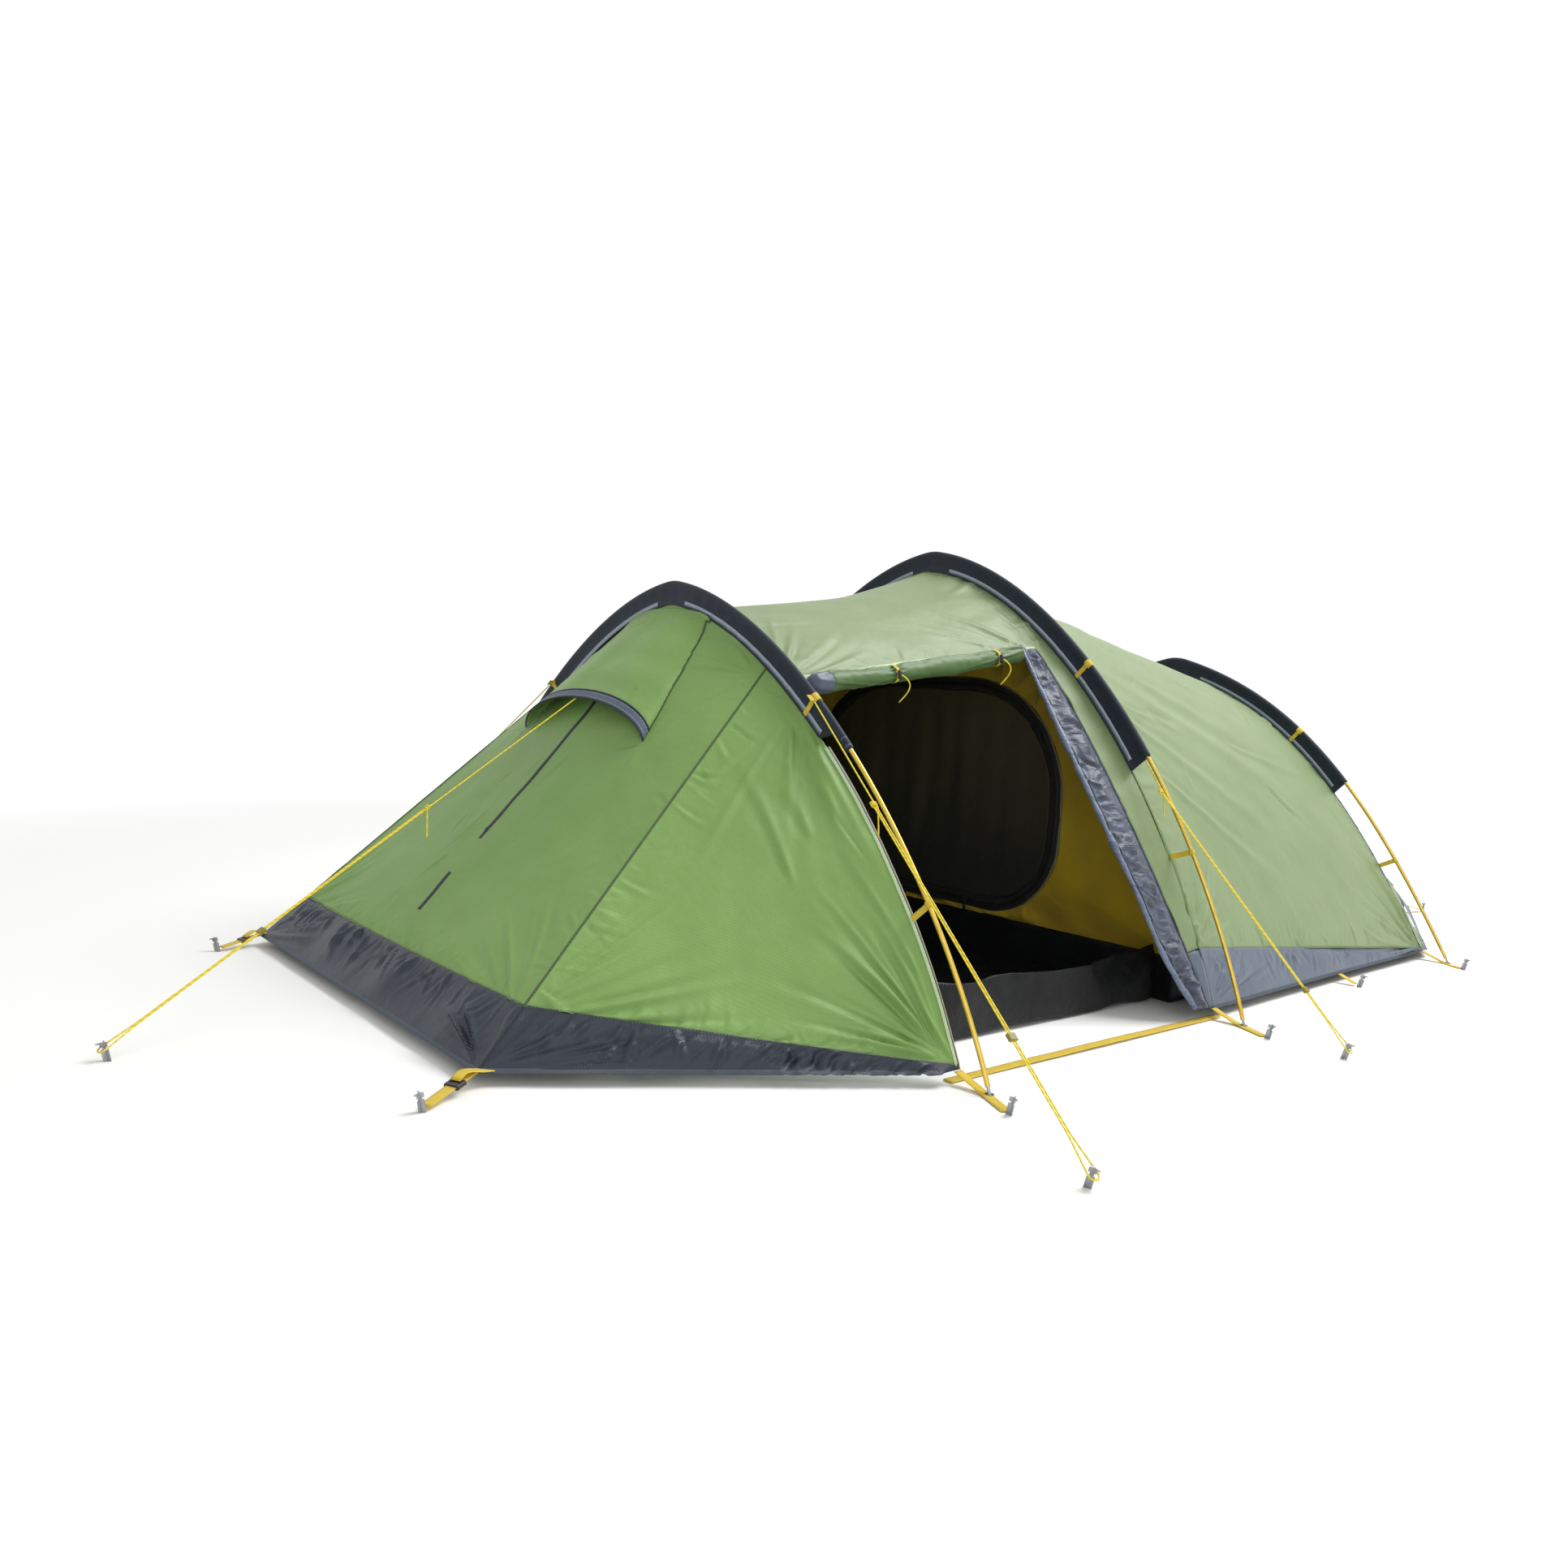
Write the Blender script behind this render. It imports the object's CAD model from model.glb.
import math
from functools import partial, reduce

import bmesh
import bpy
import numpy as np
from mathutils import Matrix, Vector
from mathutils.bvhtree import BVHTree


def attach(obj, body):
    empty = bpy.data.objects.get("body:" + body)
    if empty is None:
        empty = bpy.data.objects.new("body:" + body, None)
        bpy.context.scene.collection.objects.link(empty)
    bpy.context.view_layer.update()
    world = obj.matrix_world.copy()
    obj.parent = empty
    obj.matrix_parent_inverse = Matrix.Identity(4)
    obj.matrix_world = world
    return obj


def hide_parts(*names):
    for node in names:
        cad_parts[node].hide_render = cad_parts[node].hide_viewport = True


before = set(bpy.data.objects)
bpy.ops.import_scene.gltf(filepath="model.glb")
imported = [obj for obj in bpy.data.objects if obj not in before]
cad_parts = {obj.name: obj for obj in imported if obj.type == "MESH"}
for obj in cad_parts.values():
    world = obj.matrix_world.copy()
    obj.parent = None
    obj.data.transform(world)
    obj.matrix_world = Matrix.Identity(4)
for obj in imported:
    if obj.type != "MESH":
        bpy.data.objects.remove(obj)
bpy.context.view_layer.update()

# ---- the tent's own measures, in metres ----
# each hoop: x, half width, height, foot angle, crown angle, reach of the lower and upper bend
FRONT_HOOP = (-0.910, 1.011, 0.918, 68.3, 8.9, 0.50, 0.40)
MIDDLE_HOOP = (0.0, 1.000, 1.100, 72.6, 9.4, 0.53, 0.42)
REAR_HOOP = (1.336, 0.946, 0.890, 61.2, 15.9, 0.61, 0.49)
CROWN_BEND_RADIUS = 0.150
HEM_HEIGHT = 0.025
FLY_INSETS = (0.075, 0.050)
INNER_INSETS = (0.200, 0.112)
INNER_BASE = 0.1103
PORCH_SAG = 0.038
SLEEPING_SAG = 0.006
INNER_SAG = 0.012
FRONT_HEM = (-1.656, 0.555)
REAR_HEM = (2.290, 0.480)
INNER_REAR_HEM = (2.130, 0.400)
CORNER_SEAM_SHARE = 0.69
SEAM_PLACES = (FRONT_HEM[0], FRONT_HOOP[0], MIDDLE_HOOP[0], REAR_HOOP[0], REAR_HEM[0])
SEAM_HEIGHTS = (0.128, 0.035, 0.152, 0.032, 0.128)
CLOTH = 0.0012

DOORWAY_TOP = ((-0.915, 0.700), (-0.050, 0.834))
STRIP_FRONT_ARC = ((-0.050, -0.005), (-0.190, 0.430), (-0.100, 0.825))
STRIP_REAR_ARC = ((-0.004, -0.005), (-0.088, 0.430), (-0.050, 0.834))

SLOPE_TOP = np.array([-0.910, 0.0, 0.868])
SLOPE_FOOT = np.array([-1.656, 0.0, 0.025])
# the hood's root and rim: distance down the slope, half width, rise
HOOD_ROOT = (0.018, 0.159, 0.008)
HOOD_RIM = (0.365, 0.243, 0.045)
HOOD_RIM_LEAN = 37.0
HOOD_EDGE_DEPTH = 0.040
VENT_TOP = (0.070, 0.105)
VENT_FOOT = (0.255, 0.162)

DOOR_HALF_WIDTH = 0.465
DOOR_BOTTOM = 0.122
DOOR_HEIGHT = 0.635
DOOR_TOP_RADIUS = 0.318
DOOR_FOOT_RADIUS = 0.215
BINDING_WIDTH = 0.038
WALL_X = 0.035

TRAY = ((0.034, -0.800), (1.336, -0.745), (2.130, -0.400), (2.130, 0.400), (1.336, 0.745),
        (0.034, 0.800))
TRAY_DEPTH = 0.110
PORCH_SHEET_X = (-0.870, 0.020)
PORCH_SHEET_HALF_WIDTH = 0.770
PORCH_SILL = 0.138

ROLL_FRONT = np.array([-0.835, -0.405, 0.682])
ROLL_REAR = np.array([-0.125, -0.425, 0.800])
ROLL_RADIUS = 0.027
ROLL_TIES = (0.36, 0.85)

# each guy line: from its loop down round its peg and back up to the knot
FRONT_GUY = ((-1.1617, 0.0, 0.6355), (-1.5361, -0.0651, 0.3998), (-1.5779, -0.0725, 0.3734),
             (-2.0718, -0.1605, 0.0622), (-2.0835, -0.1626, 0.0548), (-2.1212, -0.1746, 0.0305),
             (-2.1415, -0.1811, 0.0174), (-2.1451, -0.1604, 0.0174), (-2.1238, -0.1595, 0.0305),
             (-2.0843, -0.1577, 0.0548), (-2.0726, -0.1556, 0.0622), (-1.5369, -0.0602, 0.3998))
FRONT_HOOP_GUY = ((-0.9230, -0.5228, 0.6600), (-0.9719, -0.7521, 0.4792), (-0.9800, -0.7909, 0.4487),
                  (-1.0808, -1.2732, 0.0684), (-1.0831, -1.2841, 0.0598), (-1.0854, -1.3210, 0.0317),
                  (-1.0867, -1.3408, 0.0165), (-1.1073, -1.3364, 0.0165), (-1.1005, -1.3177, 0.0317),
                  (-1.0879, -1.2831, 0.0598), (-1.0856, -1.2722, 0.0684), (-0.9768, -0.7510, 0.4792))
MIDDLE_HOOP_GUY = ((0.0130, -0.5429, 0.7881), (0.0100, -0.7020, 0.5710), (-0.0140, -0.7650, 0.5020),
                   (-0.0155, -0.7999, 0.4662), (-0.0323, -1.1797, 0.0761), (-0.0327, -1.1895, 0.0661),
                   (-0.0289, -1.2219, 0.0331), (-0.0269, -1.2394, 0.0153), (-0.0478, -1.2384, 0.0153),
                   (-0.0443, -1.2212, 0.0331), (-0.0377, -1.1892, 0.0661), (-0.0373, -1.1794, 0.0761),
                   (-0.0190, -0.7648, 0.5020))
CORD_DIAMETER = 0.003
STRAP_WIDTH = 0.020
PORCH_ROWS = 130
TIE_RING_RADIUS = 0.0062
GUY_LOOP_RADIUS = 0.0086

# the cloth between two hoops: both hoops, sag, insets and lower edge
PORCH_CLOTH = (FRONT_HOOP, MIDDLE_HOOP, PORCH_SAG, FLY_INSETS, HEM_HEIGHT)
SLEEPING_CLOTH = (MIDDLE_HOOP, REAR_HOOP, SLEEPING_SAG, FLY_INSETS, HEM_HEIGHT)
# the long soft folds over each flank: start (x, z), finish (x, z), width and depth
SLEEPING_FOLDS = (((0.03, 0.95), (1.02, 0.55), 0.030, 0.0080),
                  ((0.03, 0.86), (1.30, 0.34), 0.042, 0.0085),
                  ((0.02, 0.72), (0.86, 0.30), 0.026, 0.0060),
                  ((0.36, 0.92), (1.31, 0.64), 0.024, 0.0055),
                  ((0.10, 0.55), (0.70, 0.20), 0.018, 0.0045),
                  ((0.70, 0.62), (1.32, 0.50), 0.016, 0.0040))
SIDES = (("near", -1), ("far", 1))
ALONG = np.array((1.0, 0.0, 0.0))
# points well inside each end or part, which the outer faces look away from
FRONT_INSIDE = (-1.2, 0.0, 0.05)
PORCH_INSIDE = (-0.4, 0.0, 0.05)
SLEEPING_INSIDE = (0.6, 0.0, 0.05)
REAR_INSIDE = (1.8, 0.0, 0.05)
REAR_PANEL_INSIDE = (1.6, 0.0, 0.1)
INNER_INSIDE = (0.5, 0.0, 0.4)

# the share of each stitch's pitch that its thread covers
STITCH_SHARE = 0.62
SKY_FILL = 0.60
# the floor's half width, and how far out it starts and ends turning white
FLOOR_REACH = 40.0
FLOOR_FADE = (2.4, 3.8)


# ---- camera ----
def linked(name, data):
    """A new object in the scene."""
    made = bpy.data.objects.new(name, data)
    bpy.context.scene.collection.objects.link(made)
    return made


def make_camera():
    """A low camera off the tent's near front corner."""
    data = bpy.data.cameras.new("camera")
    data.sensor_width = 36.0
    data.lens = 26.54
    data.shift_x, data.shift_y = 0.0522, -0.0175
    camera = linked("camera", data)
    yaw, pitch, roll = (math.radians(angle) for angle in (38.340, 3.083, 3.580))
    camera.matrix_world = (Matrix.Translation((-2.5465, -2.2206, 0.6622))
                           @ Matrix.Rotation(-yaw, 4, "Z")
                           @ Matrix.Rotation(math.pi / 2 - pitch, 4, "X")
                           @ Matrix.Rotation(roll, 4, "Z"))
    bpy.context.scene.camera = camera


make_camera()
bpy.context.scene.view_settings.view_transform = "Standard"


# ---- node and material helpers ----
def linear(hexcode):
    """An sRGB hex colour as linear red, green, blue and alpha."""
    parts = [int(hexcode[i:i + 2], 16) / 255 for i in (1, 3, 5)]
    return [c / 12.92 if c <= 0.04045 else ((c + 0.055) / 1.055) ** 2.4 for c in parts] + [1.0]


def node(tree, kind, inputs=None, out=0, **settings):
    """Add a node with its settings and inputs, and give back one of its outputs.

    An input is a socket to link, a hex colour or a plain value.
    """
    made = tree.nodes.new("ShaderNode" + kind)
    for name, value in settings.items():
        setattr(made, name, value)
    for socket, value in (inputs or {}).items():
        if isinstance(value, bpy.types.NodeSocket):
            tree.links.new(value, made.inputs[socket])
        else:
            made.inputs[socket].default_value = linear(value) if isinstance(value, str) else value
    return made.outputs[out] if made.outputs else None


def empty_tree(owner):
    """Clear the nodes of a material or a world, and give back what adds new ones."""
    owner.use_nodes = True
    owner.node_tree.nodes.clear()
    return partial(node, owner.node_tree)


def finish_material(name, build, roughness, through=0.0, **constants):
    """A material whose colour, height and depth come from build(add, place, cut).

    Place is in the tent's metres and cut in the cloth's own metres. The share called through is
    the light that passes on to the cloth's other side.
    """
    material = bpy.data.materials.new(name)
    add = empty_tree(material)
    place = add("TexCoord", out="Object")
    colour, height, depth = build(add, place, place.node.outputs["UV"])
    bump = add("Bump", {"Height": height, "Strength": 1.0, "Distance": depth})
    values = {socket.replace("_", " "): value for socket, value in constants.items()}
    surface = add("BsdfPrincipled",
                  {"Base Color": colour, "Normal": bump, "Roughness": roughness, **values})
    if through:
        glow = add("BsdfTranslucent", {"Color": colour})
        surface = add("MixShader", {0: through, 1: surface, 2: glow})
    add("OutputMaterial", {"Surface": surface})
    return material


def ribs(add, cut, axis, pitch, wave="SINE"):
    """Ribs across one way of the cloth, a pitch apart."""
    along = add("SeparateXYZ", {0: cut}, axis)
    turn = add("Math", {0: along, 1: 2 * math.pi / pitch}, operation="MULTIPLY")
    return add("Math", {0: turn}, operation=wave)


def threads(add, cut, spacing, wave="SINE"):
    """The hills of a plain weave with its threads a spacing apart."""
    warp, weft = (ribs(add, cut, axis, 2 * spacing, wave) for axis in (0, 1))
    return add("Math", {0: warp, 1: weft}, operation="MULTIPLY")


def within(add, place, middle, half_width):
    """1 where a place lies within a half width of a middle."""
    off = add("Math", {0: place, 1: middle}, operation="SUBTRACT")
    off = add("Math", {0: off}, operation="ABSOLUTE")
    return add("Math", {0: off, 1: half_width}, operation="LESS_THAN")


def greatest(add, shares):
    """The greatest of a few shares."""
    return reduce(lambda first, second: add("Math", {0: first, 1: second}, operation="MAXIMUM"),
                  shares)


def stitches(add, cut, rows, pitch, width=0.0011):
    """1 on the stitches of straight rows, each row a distance in from the seam tape's edge."""
    along, across = (add("SeparateXYZ", {0: cut}, axis) for axis in (0, 1))
    share = add("Math", {0: along, 1: pitch}, operation="DIVIDE")
    share = add("Math", {0: share}, operation="FRACT")
    dash = add("Math", {0: share, 1: STITCH_SHARE}, operation="LESS_THAN")
    lines = [add("Math", {0: within(add, across, row, width / 2), 1: dash}, operation="MULTIPLY")
             for row in rows]
    return greatest(add, lines)


def dented(add, place, size, detail, depth, weave, fine):
    """Soft dents about a size across, with a fine weave on them."""
    dents = add("TexNoise", {"Vector": place, "Scale": 1 / size, "Detail": detail})
    dents = add("Math", {0: dents, 1: depth}, operation="MULTIPLY")
    weave = add("Math", {0: weave, 1: fine}, operation="MULTIPLY")
    return add("Math", {0: dents, 1: weave}, operation="ADD")


def mottled(add, place, size, detail, shade, bright):
    """Two tones in soft patches about a size across."""
    patches = add("TexNoise", {"Vector": place, "Scale": 1 / size, "Detail": detail})
    return add("Mix", {0: patches, 6: shade, 7: bright}, 2, data_type="RGBA")


# ---- materials ----
def coated_polyester(name, shade, bright, roughness=0.45, through=0.10, sheen=0.12, gloss=0.5):
    """Plain-woven polyester with a thin coating: smooth, slightly glossy, with soft cloudy tone.

    Its threads lie well under 1 mm apart. They are drawn 3 mm apart, so that a trace shows.
    """
    def build(add, place, cut):
        colour = mottled(add, place, 0.30, 2.0, shade, bright)
        grain = add("TexNoise", {"Vector": place, "Scale": 1 / 0.012, "Detail": 3.0})
        grain = add("Math", {0: grain, 1: 0.25}, operation="MULTIPLY")
        colour = add("Mix", {0: grain, 6: colour, 7: shade}, 2, data_type="RGBA")
        return colour, dented(add, place, 0.09, 3.0, 5.0, threads(add, cut, 0.003), 0.12), 0.0011

    return finish_material(name, build, roughness, through, Sheen_Weight=sheen, Sheen_Roughness=0.4,
                           Specular_IOR_Level=gloss)


def storm_flap_cloth(name, shade, bright):
    """Soft coated polyester that has been scrunched beside a zip: small sharp creases catch light."""
    def build(add, place, cut):
        stretched = add("Mapping", {"Vector": place, "Scale": (1.0, 1.0, 2.2)})
        creases = add("TexNoise",
                      {"Vector": stretched, "Scale": 15.0, "Detail": 3.0, "Distortion": 1.2})
        ridges = add("Math", {0: creases, 1: 0.5}, operation="SUBTRACT")
        ridges = add("Math", {0: ridges}, operation="ABSOLUTE")
        ridges = add("Math", {0: ridges, 1: 5.0}, operation="MULTIPLY")
        colour = add("Mix", {0: ridges, 6: bright, 7: shade}, 2, data_type="RGBA")
        return colour, ridges, 0.0016

    return finish_material(name, build, 0.46, Sheen_Weight=0.2, Sheen_Roughness=0.4)


def sleeve_nylon():
    """Close-woven nylon for the pole sleeves: dark, almost matt, with a fine grain.

    Its threads lie well under 1 mm apart. They are drawn 2 mm apart, so that a trace shows.
    """
    def build(add, place, cut):
        colour = mottled(add, place, 0.08, 3.0, "#111823", "#1E2838")
        return colour, dented(add, place, 0.02, 2.0, 2.5, threads(add, cut, 0.002), 0.3), 0.0006

    return finish_material("sleeve_woven_nylon", build, 0.62, Sheen_Weight=0.03,
                           Specular_IOR_Level=0.35)


def reflective_tape():
    """Glass-beaded tape: flat grey with a fine sparkle of beads.

    The beads are too small to see one by one. They are drawn 3.5 mm across, so that they show.
    """
    def build(add, place, cut):
        beads = add("TexNoise", {"Vector": place, "Scale": 1 / 0.0035, "Detail": 1.0})
        colour = add("Mix", {0: beads, 6: "#66727F", 7: "#A3AEB8"}, 2, data_type="RGBA")
        return colour, beads, 0.0002

    return finish_material("reflective_glass_bead_tape", build, 0.35, Metallic=0.25)


def seam_tape(name, shade, thread):
    """A felled seam with two rows of stitching.

    The stitches of such a seam are about 3 mm apart. They are drawn 7 mm apart, so that they show.
    """
    def build(add, place, cut):
        sewn = stitches(add, cut, (0.0012, 0.0028), 0.007, 0.0007)
        dimples = add("TexNoise", {"Vector": place, "Scale": 1 / 0.012})
        dimples = add("Math", {0: dimples, 1: sewn}, operation="SUBTRACT")
        return add("Mix", {0: sewn, 6: shade, 7: thread}, 2, data_type="RGBA"), dimples, 0.0006

    return finish_material(name, build, 0.6)


def trim_tape():
    """Grosgrain binding folded over the hood's edge: ribbed, with pale rows of stitching.

    The ribs are about 1 mm apart. They are drawn 4 mm apart, so that they show.
    """
    def build(add, place, cut):
        sewn = stitches(add, cut, (0.005, 0.019), 0.009, 0.0014)
        colour = mottled(add, place, 0.03, 2.0, "#3C4757", "#566275")
        colour = add("Mix", {0: sewn, 6: colour, 7: "#98A2AE"}, 2, data_type="RGBA")
        height = add("Math", {0: ribs(add, cut, 0, 0.004), 1: 0.15}, operation="MULTIPLY")
        return colour, add("Math", {0: height, 1: sewn}, operation="SUBTRACT"), 0.0006

    return finish_material("hood_trim_grosgrain", build, 0.6)


def inner_cloth():
    """Breathable uncoated polyester: matt mustard, a little uneven where light comes through.

    Its threads lie well under 1 mm apart. They are drawn 2.4 mm apart, so that a trace shows.
    """
    def build(add, place, cut):
        colour = mottled(add, place, 0.22, 3.0, "#B8960A", "#E0BE14")
        return colour, dented(add, place, 0.05, 2.0, 4.0, threads(add, cut, 0.0024), 0.2), 0.0010

    return finish_material("inner_breathable_polyester", build, 0.72, 0.2, Sheen_Weight=0.2)


def insect_mesh(name, dark, pale, foot, top):
    """Knitted insect mesh over a dark lining: an even dark screen, lit a little towards its top.

    The real holes are under 1 mm across. They are drawn 2 mm across, so that they show.
    """
    def build(add, place, cut):
        knit = threads(add, cut, 0.0025, "COSINE")
        screen = add("Math", {0: knit, 1: 0.25}, operation="GREATER_THAN")
        height = add("SeparateXYZ", {0: place}, 2)
        lit = add("MapRange", {"Value": height, "From Min": foot, "From Max": top})
        clouds = add("TexNoise", {"Vector": place, "Scale": 1 / 0.25, "Detail": 3.0})
        clouds = add("Math", {0: clouds, 1: 0.5}, operation="ADD")
        lit = add("Math", {0: lit, 1: clouds}, operation="MULTIPLY")
        tone = add("Mix", {0: lit, 6: dark, 7: pale}, 2, data_type="RGBA")
        share = add("Math", {0: screen, 1: 0.55}, operation="MULTIPLY")
        return add("Mix", {0: share, 6: tone, 7: dark}, 2, data_type="RGBA"), screen, -0.0003

    return finish_material(name, build, 0.7, Sheen_Weight=0.1)


def binding_tape():
    """Folded black tape round the door with its zip: ribbed along the zip's teeth.

    The teeth are drawn as ribs 5 mm apart, coarser than real ones. The tape's outer edge is paler.
    """
    def build(add, place, cut):
        across = add("SeparateXYZ", {0: cut}, 1)
        sewn = stitches(add, cut, (0.006, 0.034), 0.008)
        colour = mottled(add, place, 0.05, 3.0, "#0E0E0F", "#232325")
        colour = add("Mix", {0: sewn, 6: colour, 7: "#3E3E40"}, 2, data_type="RGBA")
        edge = add("Math", {0: across, 1: 0.0028}, operation="LESS_THAN")
        colour = add("Mix", {0: edge, 6: colour, 7: "#8A8568"}, 2, data_type="RGBA")
        teeth = add("Math", {0: ribs(add, cut, 0, 0.005), 1: within(add, across, 0.021, 0.004)},
                    operation="MULTIPLY")
        return colour, add("Math", {0: teeth, 1: sewn}, operation="ADD"), 0.0005

    return finish_material("door_binding_folded_tape", build, 0.55)


def groundsheet():
    """Heavy coated polyester for the floor: near black, leathery, dulled by handling.

    Its threads lie under 1 mm apart. They are drawn 4 mm apart, so that a trace shows.
    """
    def build(add, place, cut):
        colour = mottled(add, place, 0.16, 4.0, "#0B0C0D", "#191B1D")
        return colour, dented(add, place, 0.06, 3.0, 5.0, threads(add, cut, 0.004), 0.25), 0.0012

    return finish_material("groundsheet_coated_polyester", build, 0.42, Specular_IOR_Level=0.22)


def webbing():
    """Woven polyester webbing: bright yellow with raised ribs across it.

    The ribs are about 1 mm apart. They are drawn 2.5 mm apart, so that they show.
    """
    def build(add, place, cut):
        weave = threads(add, cut, 0.00125)
        tone = mottled(add, place, 0.03, 3.0, "#DCBA1E", "#F0D236")
        hollow = add("Math", {0: weave, 1: 1.0}, operation="ADD")
        hollow = add("Math", {0: hollow, 1: 0.14}, operation="MULTIPLY")
        colour = add("Mix", {0: hollow, 6: tone, 7: "#A2830E"}, 2, data_type="RGBA")
        return colour, weave, 0.0004

    return finish_material("yellow_woven_webbing", build, 0.62, Sheen_Weight=0.15)


def braided_cord():
    """Braided nylon guy cord: bright yellow, its strands crossing at a slant.

    The plaits are a few millimetres long and are drawn longer, so that they show.
    """
    def build(add, place, cut):
        plaits = add("TexWave", {"Vector": place, "Scale": 2 * math.pi / 0.20, "Distortion": 0.6},
                     "Fac", bands_direction="DIAGONAL")
        colour = add("Mix", {0: plaits, 6: "#D6BE22", 7: "#EBD63A"}, 2, data_type="RGBA")
        return colour, plaits, 0.0003

    return finish_material("yellow_braided_cord", build, 0.55)


def bare_metal(name, shade, bright, grit, roughness, metallic=0.9, detail=5.0, stretch=0.2,
               depth=0.00008):
    """Metal with fine marks about a grit apart, drawn out upwards by a stretch under 1.

    Turned, drawn and plated metal show these as long faint scratches. Anodised tube is stained
    evenly and satin, and brighter where the sleeves have rubbed it.
    """
    def build(add, place, cut):
        marks = add("Mapping", {"Vector": place, "Scale": (1.0, 1.0, stretch)})
        marks = add("TexNoise", {"Vector": marks, "Scale": 1 / grit, "Detail": detail})
        return add("Mix", {0: marks, 6: shade, 7: bright}, 2, data_type="RGBA"), marks, depth

    return finish_material(name, build, roughness, Metallic=metallic)


def moulded_nylon(name, shade, bright):
    """Injection-moulded nylon: satin, with a faint spark-eroded grain.

    The grain is drawn about 1.5 mm across. The real grain is much finer and would not show.
    """
    def build(add, place, cut):
        grain = add("TexNoise", {"Vector": place, "Scale": 1 / 0.0015})
        return mottled(add, place, 0.01, 2.0, shade, bright), grain, 0.0001

    return finish_material(name, build, 0.45)


fly_green = coated_polyester("fly_green_coated_polyester", "#718656", "#86996B")
front_green = coated_polyester("front_green_coated_polyester", "#6E924A", "#86A760",
                               0.5, 0.05, 0.03, 0.35)
fly_slate = coated_polyester("skirt_slate_coated_polyester", "#424C5C", "#5A6677", 0.44, 0.0)
front_slate = coated_polyester("front_skirt_slate_coated_polyester", "#161E29", "#27313F",
                               0.38, 0.0, 0.0, 0.4)
roll_green = coated_polyester("rolled_door_coated_polyester", "#38551F", "#4F7036", 0.5, 0.0)
storm_flap = storm_flap_cloth("storm_flap_scrunched_polyester", "#222835", "#454E61")
flap_edge = storm_flap_cloth("storm_flap_folded_edge_polyester", "#4F5A72", "#6E7A92")
sleeve_cloth = sleeve_nylon()
reflective = reflective_tape()
green_seam = seam_tape("green_felled_seam", "#5D7B42", "#3F5A2C")
dark_seam = seam_tape("dark_green_taped_seam", "#34482A", "#566B48")
pale_hem = seam_tape("pale_green_piped_hem", "#B4C99E", "#AFC499")
slate_hem = seam_tape("slate_folded_hem", "#39434F", "#525E6C")
hood_trim = trim_tape()
inner_mustard = inner_cloth()
door_mesh = insect_mesh("door_insect_mesh", "#14120A", "#4C4620", 0.25, 0.72)
vent_screen = insect_mesh("vent_insect_mesh", "#0C0D0E", "#1D1F22", 0.6, 0.9)
door_tape = binding_tape()
floor_cloth = groundsheet()
yellow_webbing = webbing()
yellow_cord = braided_cord()
pole_gold = bare_metal("pole_gold_anodised_aluminium", "#C09A35", "#E3C763", 0.02, 0.32, 0.85,
                       4.0, 1.0, 0.00005)
steel = bare_metal("turned_stainless_steel", "#8B8E91", "#BDBFC1", 0.003, 0.32)
peg_alloy = bare_metal("drawn_grey_aluminium", "#7F8286", "#B4B7BA", 0.004, 0.4)
zip_metal = bare_metal("dark_plated_zinc", "#3A3C40", "#6A6D72", 0.003, 0.35)
black_nylon = moulded_nylon("moulded_black_nylon", "#1A1B1D", "#2A2B2E")
olive_nylon = moulded_nylon("moulded_olive_nylon", "#6A6318", "#8A8122")


# ---- guy lines ----
def flipped(points):
    """The same points on the far side of the tent."""
    return tuple((x, -y, z) for x, y, z in points)


def place_on(piece, material, nodes=(), body="tent"):
    """Give a piece its record slot, its material, the build pieces it stands for and its body."""
    piece.data.materials.append(material)
    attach(piece, body)
    if nodes:
        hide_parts(*nodes)


def thicken(piece, thickness, offset=-1.0):
    """Give a cloth sheet its thickness."""
    solid = piece.modifiers.new("cloth_thickness", "SOLIDIFY")
    solid.thickness, solid.offset = thickness, offset


def cord_curve(name, points):
    """A round cord on one smooth curve."""
    curve = bpy.data.curves.new(name, "CURVE")
    curve.dimensions = "3D"
    curve.bevel_depth = CORD_DIAMETER / 2
    curve.bevel_resolution = 3
    curve.resolution_u = 10
    curve.use_fill_caps = True
    spline = curve.splines.new("NURBS")
    spline.points.add(len(points) - 1)
    for point, place in zip(spline.points, points):
        point.co = (*place, 1.0)
    spline.order_u = 3
    spline.use_endpoint_u = True
    return linked(name, curve)


def as_object(shape, name):
    """A smooth-shaded object from a bmesh."""
    mesh = bpy.data.meshes.new(name)
    shape.to_mesh(mesh)
    shape.free()
    mesh.polygons.foreach_set("use_smooth", [True] * len(mesh.polygons))
    return linked(name, mesh)


def fill_holes(piece, wanted=None):
    """Close the open edges of a piece, or those of them that are wanted."""
    shape = bmesh.new()
    shape.from_mesh(piece.data)
    bmesh.ops.holes_fill(shape, edges=[e for e in shape.edges
                                       if e.is_boundary and (wanted is None or wanted(e))])
    if wanted is None:
        bmesh.ops.recalc_face_normals(shape, faces=shape.faces)
    shape.to_mesh(piece.data)
    shape.free()


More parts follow.
